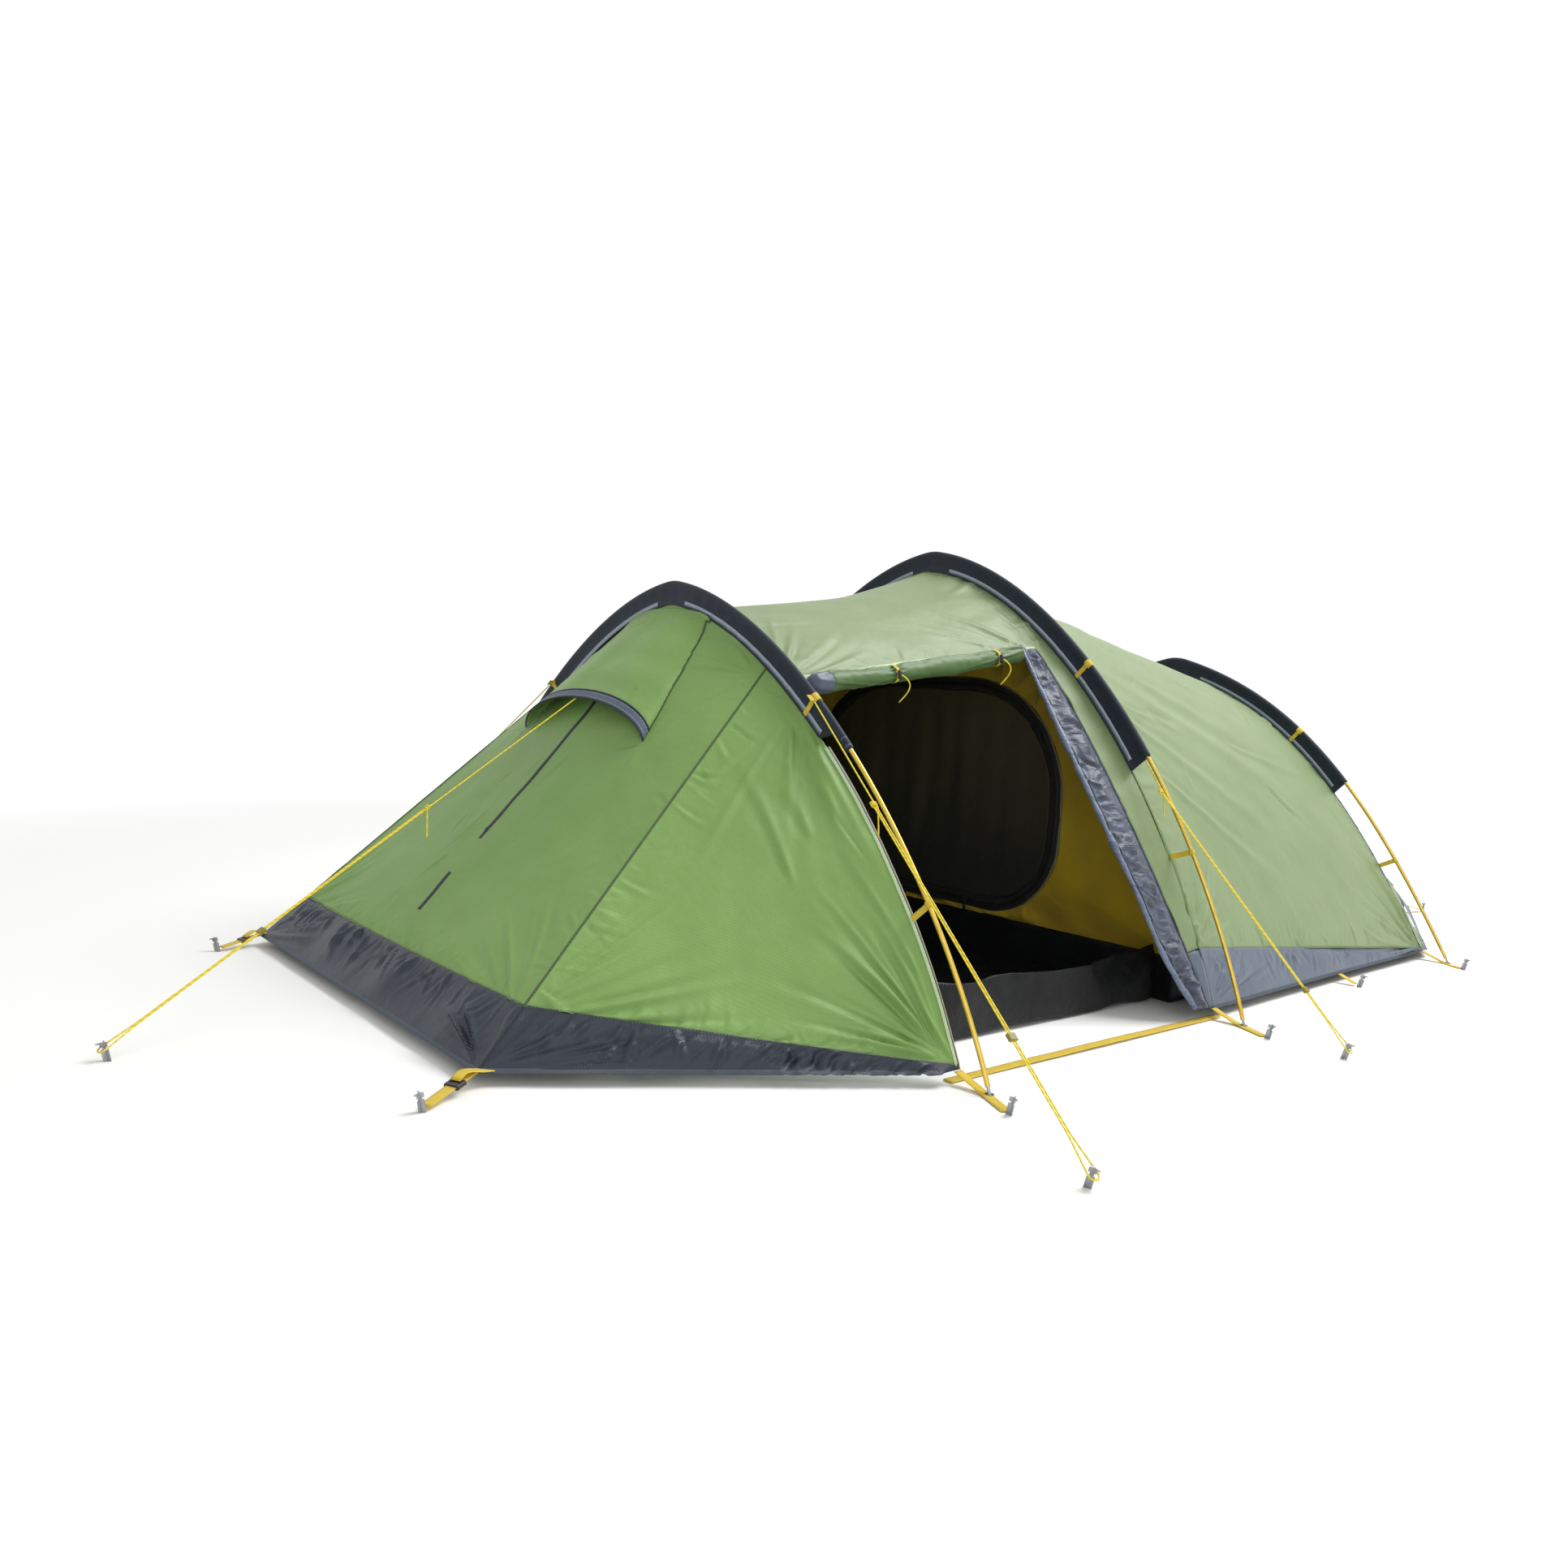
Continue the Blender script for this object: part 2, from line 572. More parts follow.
def cord_knot(name, eye, way):
    """A figure-eight knot over both strands at the eye, with its short tail hanging down."""
    eye, way = Vector(eye), Vector(way).normalized()
    side = Vector((0, 0, 1)).cross(way).normalized()
    up = way.cross(side)
    middle = eye - side * 0.0025
    turns = bmesh.new()
    wraps, ring = 72, 8
    path = []
    for step in range(wraps):
        share = step / (wraps - 1)
        angle = share * 3 * 2 * math.pi
        along = (share - 0.5) * 0.010 + 0.001 * math.sin(angle * 1.5)
        path.append(middle + way * along + side * 0.0058 * math.cos(angle)
                    + up * 0.0035 * math.sin(angle))
    for step in range(1, 19):
        share = step / 18
        path.append(path[wraps - 1] + (side * 0.5 + way * 0.15) * 0.012 * share
                    - Vector((0, 0, 1)) * 0.055 * share ** 1.4)
    tube_along(turns, path, CORD_DIAMETER / 2 * 0.95, ring)
    return as_object(turns, name)


def tube_along(shape, path, radius, ring=8):
    """Add a round tube along a list of points to a bmesh; radius may be one number or one each."""
    path = [Vector(point) for point in path]
    radii = [radius] * len(path) if isinstance(radius, (int, float)) else list(radius)
    way = (path[1] - path[0]).normalized()
    side = way.orthogonal().normalized()
    rings = []
    for index, point in enumerate(path):
        ahead = path[min(index + 1, len(path) - 1)] - path[max(index - 1, 0)]
        way = ahead.normalized() if ahead.length > 1e-9 else way
        side = (side - way * side.dot(way)).normalized()
        up = way.cross(side)
        rings.append([shape.verts.new(point + (side * math.cos(a) + up * math.sin(a)) * radii[index])
                      for a in (2 * math.pi * k / ring for k in range(ring))])
    for first, second in zip(rings, rings[1:]):
        for k in range(ring):
            shape.faces.new((first[k], first[(k + 1) % ring], second[(k + 1) % ring], second[k]))
    shape.faces.new(list(reversed(rings[0])))
    shape.faces.new(rings[-1])


for guy_name, guy_route in (("front_guy", FRONT_GUY), ("near_front_guy", FRONT_HOOP_GUY),
                            ("far_front_guy", flipped(FRONT_HOOP_GUY)),
                            ("near_middle_guy", MIDDLE_HOOP_GUY),
                            ("far_middle_guy", flipped(MIDDLE_HOOP_GUY))):
    guy = cord_curve(guy_name + "_line", guy_route)
    place_on(guy, yellow_cord, [guy_name])
    eye = guy_route[-11]
    knot = cord_knot(guy_name + "_knot", eye, Vector(guy_route[-10]) - Vector(eye))
    place_on(knot, yellow_cord)


# ---- hoop curves and cloth grids ----
def bezier(points, shares):
    """Points along a Bezier curve of any degree."""
    shares = np.asarray(shares, float)[:, None]
    rows = [np.asarray(point, float)[None, :] + 0 * shares for point in points]
    while len(rows) > 1:
        rows = [a + (b - a) * shares for a, b in zip(rows, rows[1:])]
    return rows[0]


def split_bezier(points, share):
    """The two parts of a Bezier curve cut at a share."""
    rows = [[np.asarray(point, float) for point in points]]
    while len(rows[-1]) > 1:
        rows.append([a + (b - a) * share for a, b in zip(rows[-1], rows[-1][1:])])
    return [row[0] for row in rows], [row[-1] for row in reversed(rows)]


def hoop_pieces(hoop, insets=(0.0, 0.0), base=0.0):
    """The (y, z) curves of a hoop: its near side, its crown and its far side."""
    _, half_width, height, foot_angle, crown_angle, foot_reach, crown_reach = hoop
    foot, crown = math.radians(foot_angle), math.radians(crown_angle)
    width, rise = half_width - insets[0], height - insets[1] - base
    half_bend = CROWN_BEND_RADIUS * math.sin(crown)
    shoulder = base + rise - half_bend * math.tan(crown / 2)
    reach = crown_reach * width - half_bend
    near = [(-width, base),
            (-width + foot_reach * rise * math.cos(foot), base + foot_reach * rise * math.sin(foot)),
            (-half_bend - reach * math.cos(crown), shoulder - reach * math.sin(crown)),
            (-half_bend, shoulder)]
    peak = [(-half_bend, shoulder), (0.0, shoulder + half_bend * math.tan(crown)),
            (half_bend, shoulder)]
    return near, peak, [(-y, z) for y, z in reversed(near)]


def hoop_line(hoop, insets=(0.0, 0.0), base=0.0):
    """Close points over a hoop, from its near foot to its far foot."""
    near, peak, far = hoop_pieces(hoop, insets, base)
    return np.vstack([bezier(near, np.linspace(0, 1, 160)), bezier(peak, np.linspace(0, 1, 9))[1:-1],
                      bezier(far, np.linspace(0, 1, 160))])


def hoop_between(first, second, sag, x):
    """The hoop that the cloth follows at a place between two hoops."""
    share = (x - first[0]) / (second[0] - first[0])
    first, second = np.array(first), np.array(second)
    halfway = (first + second) / 2
    halfway[1] -= sag * 0.6
    halfway[2] -= sag
    return ((1 - share) * (1 - 2 * share) * first + 4 * share * (1 - share) * halfway
            + share * (2 * share - 1) * second)


def reach_along(line):
    """How far along a line of points each one is."""
    return np.concatenate([[0.0], np.cumsum(np.linalg.norm(np.diff(line, axis=0), axis=1))])


def at_reach(line, reaches):
    """The points at given distances along a line of points."""
    own = reach_along(line)
    return np.column_stack([np.interp(reaches, own, line[:, axis]) for axis in range(line.shape[1])])


def reach_at_height(line, height, far=False):
    """How far along a hoop line a height is passed, on its near or its far side."""
    own, top = reach_along(line), line[:, 1].argmax()
    if far:
        return np.interp(-height, -line[top:, 1], own[top:])
    return np.interp(height, line[:top + 1, 1], own[:top + 1])


def roof_grid(first, second, sag, insets, base, stations, low, high, count):
    """Cloth stretched over two hoops; low and high give its near and far edge's height at x."""
    rows = []
    for x in stations:
        line = hoop_line(hoop_between(first, second, sag, x), insets, base)
        ends = reach_at_height(line, low(x)), reach_at_height(line, high(x), far=True)
        rows.append(np.column_stack([np.full(count, x), at_reach(line, np.linspace(*ends, count))]))
    return np.array(rows)


def side_grid(first, second, sag, insets, base, x, z, side=-1):
    """Cloth on one side of the tent at the places (x, z) of a grid."""
    grid = np.stack([x, np.zeros_like(x), z], axis=-1)
    for place in np.unique(x):
        line = hoop_line(hoop_between(first, second, sag, place), insets, base)[:160]
        here = x == place
        grid[here, 1] = -side * np.interp(z[here], line[:, 1], line[:, 0])
    return grid


def seam_height(x):
    """How high the seam between the green cloth and the skirt is."""
    return np.interp(x, SEAM_PLACES, SEAM_HEIGHTS)


def doorway_top(x):
    """How high the doorway's upper edge is."""
    return np.interp(x, *zip(*DOORWAY_TOP))


def arc_x(arc, z):
    """The x place on an upright arc through three (x, z) points, at a height."""
    (x1, z1), (x2, z2), (x3, z3) = arc
    turn = np.array([[x2 - x1, z2 - z1], [x3 - x1, z3 - z1]])
    level = np.array([x2 ** 2 - x1 ** 2 + z2 ** 2 - z1 ** 2, x3 ** 2 - x1 ** 2 + z3 ** 2 - z1 ** 2]) / 2
    centre = np.linalg.solve(turn, level)
    radius = math.hypot(x1 - centre[0], z1 - centre[1])
    return centre[0] - np.sqrt(radius ** 2 - (np.asarray(z) - centre[1]) ** 2)


def end_lines(hoop, insets, hem, base, step, side_lines=150, front_lines=100):
    """The straight lines from a hoop down to one end's hem: near side, middle and far side."""
    near, peak, _ = hoop_pieces(hoop, insets, base)
    side, front = split_bezier(near, CORNER_SEAM_SHARE)
    centre = -CROWN_BEND_RADIUS * math.sin(math.radians(hoop[4]))
    outward = math.copysign(step, hem[0] - hoop[0])
    start, corner = (hoop[0] + outward, -(hoop[1] - insets[0])), (hem[0], -hem[1])

    def rule(curve, begin, finish, count):
        shares = np.linspace(0, 1, count)
        tops = np.column_stack([np.full(count, hoop[0]), bezier(curve, shares)])
        feet = np.column_stack([bezier([begin, finish], shares), np.full(count, base)])
        return np.stack([tops, feet])

    def mirrored(lines):
        return lines[:, ::-1] * np.array([1.0, -1.0, 1.0])

    near_side = rule(side, start, corner, side_lines)
    near_front = rule(front, corner, (hem[0], centre), front_lines)
    crown = rule(peak, (hem[0], centre), (hem[0], -centre), 5)
    middle = np.concatenate([near_front, crown[:, 1:-1], mirrored(near_front)], axis=1)
    return near_side, middle, mirrored(near_side)


def at_seam(lines):
    """The share of the way down each line at which it meets the skirt's seam."""
    tops, feet = lines
    inner, outer = (1, 0) if feet[0, 0] < tops[0, 0] else (3, 4)
    slope = ((SEAM_HEIGHTS[outer] - SEAM_HEIGHTS[inner])
             / (SEAM_PLACES[outer] - SEAM_PLACES[inner]))
    above = [p[:, 2] - SEAM_HEIGHTS[inner] - slope * (p[:, 0] - SEAM_PLACES[inner])
             for p in (tops, feet)]
    return np.clip(above[0] / (above[0] - above[1]), 0.0, 1.0)


def end_grid(lines, start, finish, count, sag):
    """Cloth on straight lines between two shares of their length, drawn in by its tension."""
    tops, feet = lines
    shares = np.linspace(0, 1, count)[None, :] * (finish - start)[:, None] + start[:, None]
    grid = tops[:, None] + (feet - tops)[:, None] * shares[..., None]
    across = np.sin(np.pi * np.linspace(0, 1, len(tops))) ** 0.7
    return lifted(grid, -sag * across[:, None] * 4 * shares * (1 - shares))


def unit(vectors):
    """Vectors cut or stretched to a length of one."""
    return vectors / np.maximum(np.linalg.norm(vectors, axis=-1, keepdims=True), 1e-12)


def ring_round(turn, first, second):
    """Unit vectors at angles round a circle, from one way towards another."""
    return np.outer(np.cos(turn), first) + np.outer(np.sin(turn), second)


def on_wall(outline):
    """A grid of (y, z) points set on the inner's front wall."""
    return np.concatenate([np.full(outline.shape[:2] + (1,), WALL_X), outline], axis=-1)


def outward(grid, inside=None):
    """The unit normals of a grid of points, turned away from the tent's inside."""
    normals = unit(np.cross(np.gradient(grid, axis=0), np.gradient(grid, axis=1)))
    middle = grid.mean(axis=(0, 1))
    inside = np.array([0.35 * middle[0] + 0.2, 0.0, 0.1]) if inside is None else np.array(inside)
    return normals if ((grid - inside) * normals).sum() > 0 else -normals


def lifted(grid, amount, inside=None):
    """A grid moved outward by an amount at each point."""
    return grid + outward(grid, inside) * np.broadcast_to(amount, grid.shape[:2])[..., None]


# ---- wrinkles ----
def waves(points, length, seed, stretch=(1.0, 1.0, 1.0)):
    """A smooth random field, about -1 to 1, of a few crossing sine waves about a length apart."""
    random = np.random.default_rng(seed)
    total = np.zeros(points.shape[:-1])
    for _ in range(8):
        way = unit(random.normal(size=3) * np.array(stretch))
        pitch = length * random.uniform(0.6, 1.7)
        total += np.sin(points @ way * 2 * np.pi / pitch + random.uniform(0, 2 * np.pi))
    return total / 3.0


def smooth(share):
    """A share from 0 to 1 with soft ends."""
    share = np.clip(share, 0.0, 1.0)
    return share * share * (3 - 2 * share)


def folded(grid, folds):
    """The height of folds over a grid; each has a start, a finish, a width and a depth."""
    normals = outward(grid)
    height = np.zeros(grid.shape[:2])
    for start, finish, width, depth in folds:
        start, finish = np.asarray(start, float), np.asarray(finish, float)
        length = np.linalg.norm(finish - start)
        way = (finish - start) / length
        near = np.linalg.norm(grid - (start + finish) / 2, axis=-1) < length * 0.55 + 6 * width
        away = grid[near] - start
        along = away @ way / length
        across = (away * np.cross(normals[near], way)).sum(axis=1) / width
        across = (across + 0.8 * np.sin(np.pi * along)) / (0.55 + 0.9 * np.clip(along, 0, 1))
        ridge = np.exp(-across ** 2) - 0.5 * np.exp(-((across - 1.8) / 1.2) ** 2)
        height[near] += depth * ridge * smooth(along / 0.15) * smooth((1 - along) / 0.6)
    return height


def sized(random, width, depth):
    """A width and a depth varied at random; a third of the folds go inward."""
    size = random.uniform(0.55, 1.45)
    return width * size, depth * size * (1 if random.uniform() < 0.68 else -0.8)


def pulls(grid, corner, count, reach, seed, width=0.006, depth=0.0030):
    """Folds that run out over a grid from a corner where the cloth is held."""
    random = np.random.default_rng(seed)
    places, corner = grid.reshape(-1, 3), np.asarray(corner, float)
    away = np.linalg.norm(places - corner, axis=1)
    ends = places[(away > reach * 0.35) & (away < reach)]
    folds = []
    for end in ends[random.integers(0, len(ends), count)]:
        folds.append((corner + (end - corner) * random.uniform(0.03, 0.28), end,
                      *sized(random, width, depth)))
    return folds


def tucks(grid, edge, count, seed, reach=0.06, width=0.0045, depth=0.0022, slant=0.6):
    """Short folds that start along one edge of a grid."""
    if edge.endswith("row"):
        grid = np.swapaxes(grid, 0, 1)
    if edge.startswith("last"):
        grid = grid[:, ::-1]
    random = np.random.default_rng(seed)
    folds = []
    for row in random.integers(2, len(grid) - 2, count):
        start = grid[row, 0]
        inward = grid[row, min(8, grid.shape[1] - 1)] - start
        beside = grid[row + 1, 0] - grid[row - 1, 0]
        way = unit(unit(inward) + unit(beside) * random.normal() * slant)
        folds.append((start, start + way * reach * random.uniform(0.5, 1.6),
                      *sized(random, width, depth)))
    return folds


def loose(grid, way, count, seed, reach=0.15, width=0.006, depth=0.0025, spread=0.3):
    """Folds strewn over a grid, all roughly one way."""
    random = np.random.default_rng(seed)
    places = grid.reshape(-1, 3)
    folds = []
    for start in places[random.integers(0, len(places), count)]:
        turn = unit(np.asarray(way) + random.normal(size=3) * spread)
        folds.append((start, start + turn * reach * random.uniform(0.5, 1.5),
                      *sized(random, width, depth)))
    return folds


# ---- making meshes ----
def metres_over(grid):
    """Distances along both ways of a grid, for patterns that keep their real scale."""
    first = np.cumsum(np.linalg.norm(np.diff(grid, axis=0, prepend=grid[:1]), axis=-1), axis=0)
    second = np.cumsum(np.linalg.norm(np.diff(grid, axis=1, prepend=grid[:, :1]), axis=-1), axis=1)
    return np.stack([first, second], axis=-1)


def grid_quads(rows, columns, closed=False):
    """The quads over a grid of points, closed round from the last row to the first if asked."""
    row = np.arange(rows if closed else rows - 1)[:, None]
    column = np.arange(columns - 1)[None, :]
    here, ahead = row * columns + column, (row + 1) % rows * columns + column
    return np.stack([here, ahead, ahead + 1, here + 1], axis=-1).reshape(-1, 4)


def make_piece(name, grids, closed=False, thickness=0.0, inside=None, weld=0.0):
    """One mesh piece from grids of points that face away from the tent's inside."""
    vertices, faces, cuts, count = [], [], [], 0
    for grid in grids:
        quads = grid_quads(*grid.shape[:2], closed) + count
        normals = np.cross(np.gradient(grid, axis=0), np.gradient(grid, axis=1))
        if (normals * outward(grid, inside)).sum() < 0:
            quads = quads[:, ::-1]
        vertices.append(grid.reshape(-1, 3))
        cuts.append(metres_over(grid).reshape(-1, 2))
        faces.append(quads)
        count += grid.shape[0] * grid.shape[1]
    mesh = bpy.data.meshes.new(name)
    mesh.from_pydata(np.vstack(vertices).tolist(), [], np.vstack(faces).tolist())
    layer = mesh.uv_layers.new(name="metres")
    corners = np.empty(len(mesh.loops), dtype=np.int32)
    mesh.loops.foreach_get("vertex_index", corners)
    layer.data.foreach_set("uv", np.vstack(cuts)[corners].ravel())
    mesh.polygons.foreach_set("use_smooth", [True] * len(mesh.polygons))
    piece = linked(name, mesh)
    if weld:
        shape = bmesh.new()
        shape.from_mesh(mesh)
        bmesh.ops.remove_doubles(shape, verts=shape.verts, dist=weld)
        shape.to_mesh(mesh)
        shape.free()
    if thickness:
        thicken(piece, thickness)
    return piece


def strip(name, line, normals, width, lift, material, thickness=0.0009, nodes=()):
    """A flat strip, such as a seam, a tape or a strap, centred on a line of points."""
    line, normals = np.asarray(line), np.asarray(normals)
    side = unit(np.cross(normals, unit(np.gradient(line, axis=0))))
    across = width * (np.linspace(0, 1, 5) - 0.5)
    grid = (line + normals * lift)[:, None] + side[:, None] * across[None, :, None]
    piece = make_piece(name, [grid], inside=(grid - normals[:, None] * 0.5).mean(axis=(0, 1)),
                       thickness=thickness)
    place_on(piece, material, nodes)


# ---- flysheet: porch ----
def near_seam(x):
    """The near edge of the porch roof: the doorway's top, level with it behind the zip strip."""
    return doorway_top(min(x, DOORWAY_TOP[1][0]))


def roof_relief(grid, seed, hoop_xs):
    """Broad dents, tension folds between two hoops and gathers at their sleeves."""
    relief = 0.0035 * waves(grid, 0.55, seed, (0.6, 1.0, 1.0))
    relief += 0.0016 * waves(grid, 0.16, seed + 1, (0.35, 1.0, 1.0))
    for x in hoop_xs:
        pull = np.exp(-np.abs(grid[..., 0] - x) / 0.07)
        relief += 0.0022 * pull * waves(grid, 0.055, seed + 2, (0.05, 1.0, 1.0))
    for x in hoop_xs:
        relief *= np.clip(np.abs(grid[..., 0] - x) / 0.03, 0.0, 1)
    return relief


def make_porch():
    """The green porch cloth above the doorway and beside the zip strip, and its skirts."""
    stations = np.concatenate([np.linspace(-0.9097, DOORWAY_TOP[1][0], PORCH_ROWS),
                               np.linspace(DOORWAY_TOP[1][0], -0.0003, 12)[1:]])
    roof = roof_grid(*PORCH_CLOTH, stations, near_seam, seam_height, 290)
    relief = roof_relief(roof, 11, (FRONT_HOOP[0], 0.0))
    folds = (pulls(roof, (-0.91, -0.40, 0.70), 14, 0.45, 12)
             + pulls(roof, (-0.05, -0.45, 0.834), 12, 0.40, 13)
             + tucks(roof, "first_row", 36, 14, 0.07) + tucks(roof, "last_row", 36, 15, 0.07)
             + tucks(roof, "first_column", 16, 16, 0.05)
             + loose(roof, (1.0, 0.0, 0.05), 14, 17, 0.30, 0.014, 0.0030, 0.12))
    relief += folded(roof, folds)
    roof_top = lifted(roof, relief)

    height = np.linspace(0, 1, 70)[:, None]
    x = arc_x(STRIP_REAR_ARC, 0.834 - (0.834 - 0.15) * height)
    x = x + (-0.0003 - x) * np.linspace(0, 1, 12)[None, :]
    z = 0.834 + (seam_height(x) - 0.834) * height
    band = side_grid(*PORCH_CLOTH, x, z)
    fade = np.clip(height * 12, 0, 1)
    fade = fade * smooth(-band[..., 0] / 0.03)
    band_top = lifted(band, fade * 0.0030 * waves(band, 0.12, 17, (1.0, 1.0, 0.3)))
    band_top[0] = roof_top[-12:, 0]
    roof_piece = make_piece("porch_roof_cloth", [roof_top, band_top], thickness=CLOTH, weld=0.0004)
    place_on(roof_piece, fly_green, ["porch_roof"])

    drop = np.linspace(0, 1, 20)[None, :]
    far_x = np.repeat(np.linspace(-0.9097, -0.0003, 200)[:, None], 20, axis=1)
    far_z = seam_height(far_x) * (1 - drop) + HEM_HEIGHT * drop
    far_skirt = side_grid(*PORCH_CLOTH, far_x, far_z, 1)
    foot = np.linspace(0, 1, 14)[None, :]
    near_z = (seam_height(-0.03) * (1 - foot) + HEM_HEIGHT * foot).repeat(6, axis=0)
    near_x = arc_x(STRIP_REAR_ARC, near_z)
    near_x = near_x + (-0.0003 - near_x) * np.linspace(0, 1, 6)[:, None]
    near_skirt = side_grid(*PORCH_CLOTH, near_x, near_z)
    pieces = [lifted(grid, 0.002 * waves(grid, 0.10, 19) + folded(grid, tucks(grid, "first_column",
                                                                            count, 20, 0.07)))
              for grid, count in ((far_skirt, 30), (near_skirt, 3))]
    skirt = make_piece("porch_skirt_cloth", pieces, thickness=CLOTH, inside=PORCH_INSIDE)
    place_on(skirt, fly_slate, ["porch_skirt"])
    return roof_top, band_top, pieces[0]


porch_top, porch_band, porch_far_skirt = make_porch()


def make_zip_strip():
    """The scrunched storm flap down the doorway's rear edge, its folded front edge and its zip."""
    z = np.linspace(0.829, HEM_HEIGHT + 0.002, 260)[:, None].repeat(40, axis=1)
    front, rear = arc_x(STRIP_FRONT_ARC, z[:, :1]), arc_x(STRIP_REAR_ARC, z[:, :1])
    front = front - 0.016 * np.exp(-((z[:, :1] - 0.135) / 0.09) ** 2)  # room for the zip slider
    across = np.linspace(0, 1, 40)[None, :]
    x = front + (rear - 0.0004 - front) * across
    grid = side_grid(*PORCH_CLOTH, x, z)
    crumple = 0.0022 * waves(grid, 0.045, 31, (1.0, 1.0, 0.5)) + 0.003 * waves(grid, 0.11, 32)
    folds = (tucks(grid, "first_column", 46, 33, 0.07, 0.0045, 0.0045, 0.8)
             + tucks(grid, "last_column", 34, 34, 0.06, 0.0045, 0.0040, 0.8)
             + loose(grid, (0.8, 0.0, -0.5), 26, 35, 0.08, 0.005, 0.0045, 0.35))
    bulge = 0.008 * np.sin(np.pi * across) + 0.004 * np.cos(3 * np.pi * across) * (1 - across)
    held = np.sin(np.pi * np.clip(across, 0.05, 0.95))
    flap = lifted(grid, (crumple + folded(grid, folds)) * held + bulge * np.ones_like(z))
    piece = make_piece("storm_flap", [flap], thickness=CLOTH * 1.5)
    place_on(piece, storm_flap, ["door_zip_strip"])
    normals = outward(flap)
    edge = flap[:, 1] + normals[:, 1] * 0.002
    fold = bmesh.new()
    swell = 0.0056 + 0.0018 * waves(edge, 0.06, 36) * np.ones(len(edge))
    tube_along(fold, edge[::2], np.clip(swell[::2], 0.0045, 0.0095).tolist(), 12)
    place_on(as_object(fold, "storm_flap_fold"), flap_edge)
    strip("storm_flap_piping", flap[:, 7], normals[:, 7], 0.0035, 0.0014,
          slate_hem)
    strip("storm_flap_seam", flap[:, -1], normals[:, -1], 0.007, 0.0016,
          slate_hem)


make_zip_strip()


# ---- flysheet: sleeping end ----
def make_sleeping_end():
    """The green cloth from the middle hoop back to the rear hoop, and its two skirts."""
    stations = np.linspace(0.0003, REAR_HOOP[0] - 0.0003, 220)
    roof = roof_grid(*SLEEPING_CLOTH, stations, seam_height, seam_height, 420)
    relief = roof_relief(roof, 41, (0.0, REAR_HOOP[0]))
    folds = tucks(roof, "first_row", 60, 43, 0.07) + tucks(roof, "last_row", 44, 44, 0.06)
    for side, edge in ((-1, "first_column"), (1, "last_column")):
        folds += tucks(roof, edge, 30, 45 + side, 0.06)
        folds += pulls(roof, (REAR_HOOP[0], side * 0.90, 0.03), 16, 0.50, 47 + side)
        folds += pulls(roof, (0.0, side * 0.885, 0.15), 14, 0.36, 50 + side)
        folds += pulls(roof, (0.0, side * 0.56, 0.80), 9, 0.45, 53 + side, 0.010)
        flank = roof[:, :148] if side < 0 else roof[:, -148:]
        folds += loose(flank, (0.6, 0.0, -0.5), 9, 56 + side, 0.16, 0.007, 0.0032)
        for (x1, z1), (x2, z2), width, depth in SLEEPING_FOLDS:
            ends = side_grid(*SLEEPING_CLOTH, np.array([[x1, x2]]), np.array([[z1, z2]]), side)[0]
            folds.append((ends[0], ends[1], width, depth))
    relief += folded(roof, folds)
    roof_top = lifted(roof, relief)
    piece = make_piece("sleeping_roof_cloth", [roof_top], thickness=CLOTH)
    place_on(piece, fly_green, ["sleeping_roof"])

    skirts = []
    for side in (-1, 1):
        drop = np.linspace(0, 1, 26)[None, :]
        x = np.repeat(stations[:, None], 26, axis=1)
        grid = side_grid(*SLEEPING_CLOTH, x, seam_height(x) * (1 - drop) + HEM_HEIGHT * drop, side)
        hang = 0.006 * np.sin(np.pi * drop) * waves(grid, 0.30, 55 + side, (1.0, 1.0, 0.2))
        folds = (tucks(grid, "first_column", 34, 57 + side, 0.07, 0.005, 0.0030, 0.9)
                 + pulls(grid, (0.0, side * 0.93, 0.03), 14, 0.50, 60 + side, 0.006, 0.0045)
                 + pulls(grid, (REAR_HOOP[0], side * 0.86, 0.03), 10, 0.35, 63 + side, 0.006, 0.0040))
        skirts.append(lifted(grid, hang + folded(grid, folds) * np.sin(np.pi * drop * 0.93)))
    skirt = make_piece("sleeping_skirt_cloth", skirts, thickness=CLOTH, inside=SLEEPING_INSIDE)
    place_on(skirt, fly_slate, ["sleeping_skirt"])
    return roof_top, skirts


sleeping_top, sleeping_skirts = make_sleeping_end()


# ---- flysheet: the two ends ----
def cut_vent(piece):
    """Cut the front panel on the vent's outline and take out the cloth inside it."""
    down = unit(SLOPE_FOOT - SLOPE_TOP)
    top, foot = (SLOPE_TOP + down * share[0] for share in (VENT_TOP, VENT_FOOT))
    lean = math.atan2(VENT_FOOT[1] - VENT_TOP[1], VENT_FOOT[0] - VENT_TOP[0])
    planes = [(top, down), (foot, -down)]
    for side in (-1, 1):
        across = np.array([0.0, side, 0.0])
        planes.append((top + across * VENT_TOP[1], -across * math.cos(lean) + down * math.sin(lean)))
    shape = bmesh.new()
    shape.from_mesh(piece.data)
    for place, normal in planes:
        bmesh.ops.bisect_plane(shape, geom=shape.verts[:] + shape.edges[:] + shape.faces[:],
                               plane_co=place, plane_no=normal, dist=1e-5)
    inside = [face for face in shape.faces
              if all((np.array(face.calc_center_median()) - place) @ normal > 0
                     for place, normal in planes)]
    screen = bmesh.new()
    for face in inside:
        screen.faces.new([screen.verts.new(corner.co) for corner in face.verts])
    bmesh.ops.remove_doubles(screen, verts=screen.verts, dist=1e-5)
    bmesh.ops.delete(shape, geom=inside, context="FACES")
    shape.to_mesh(piece.data)
    shape.free()
    vent = as_object(screen, "vent_screen")
    thicken(vent, 0.0008)
    place_on(vent, vent_screen, ["vent_mesh"])


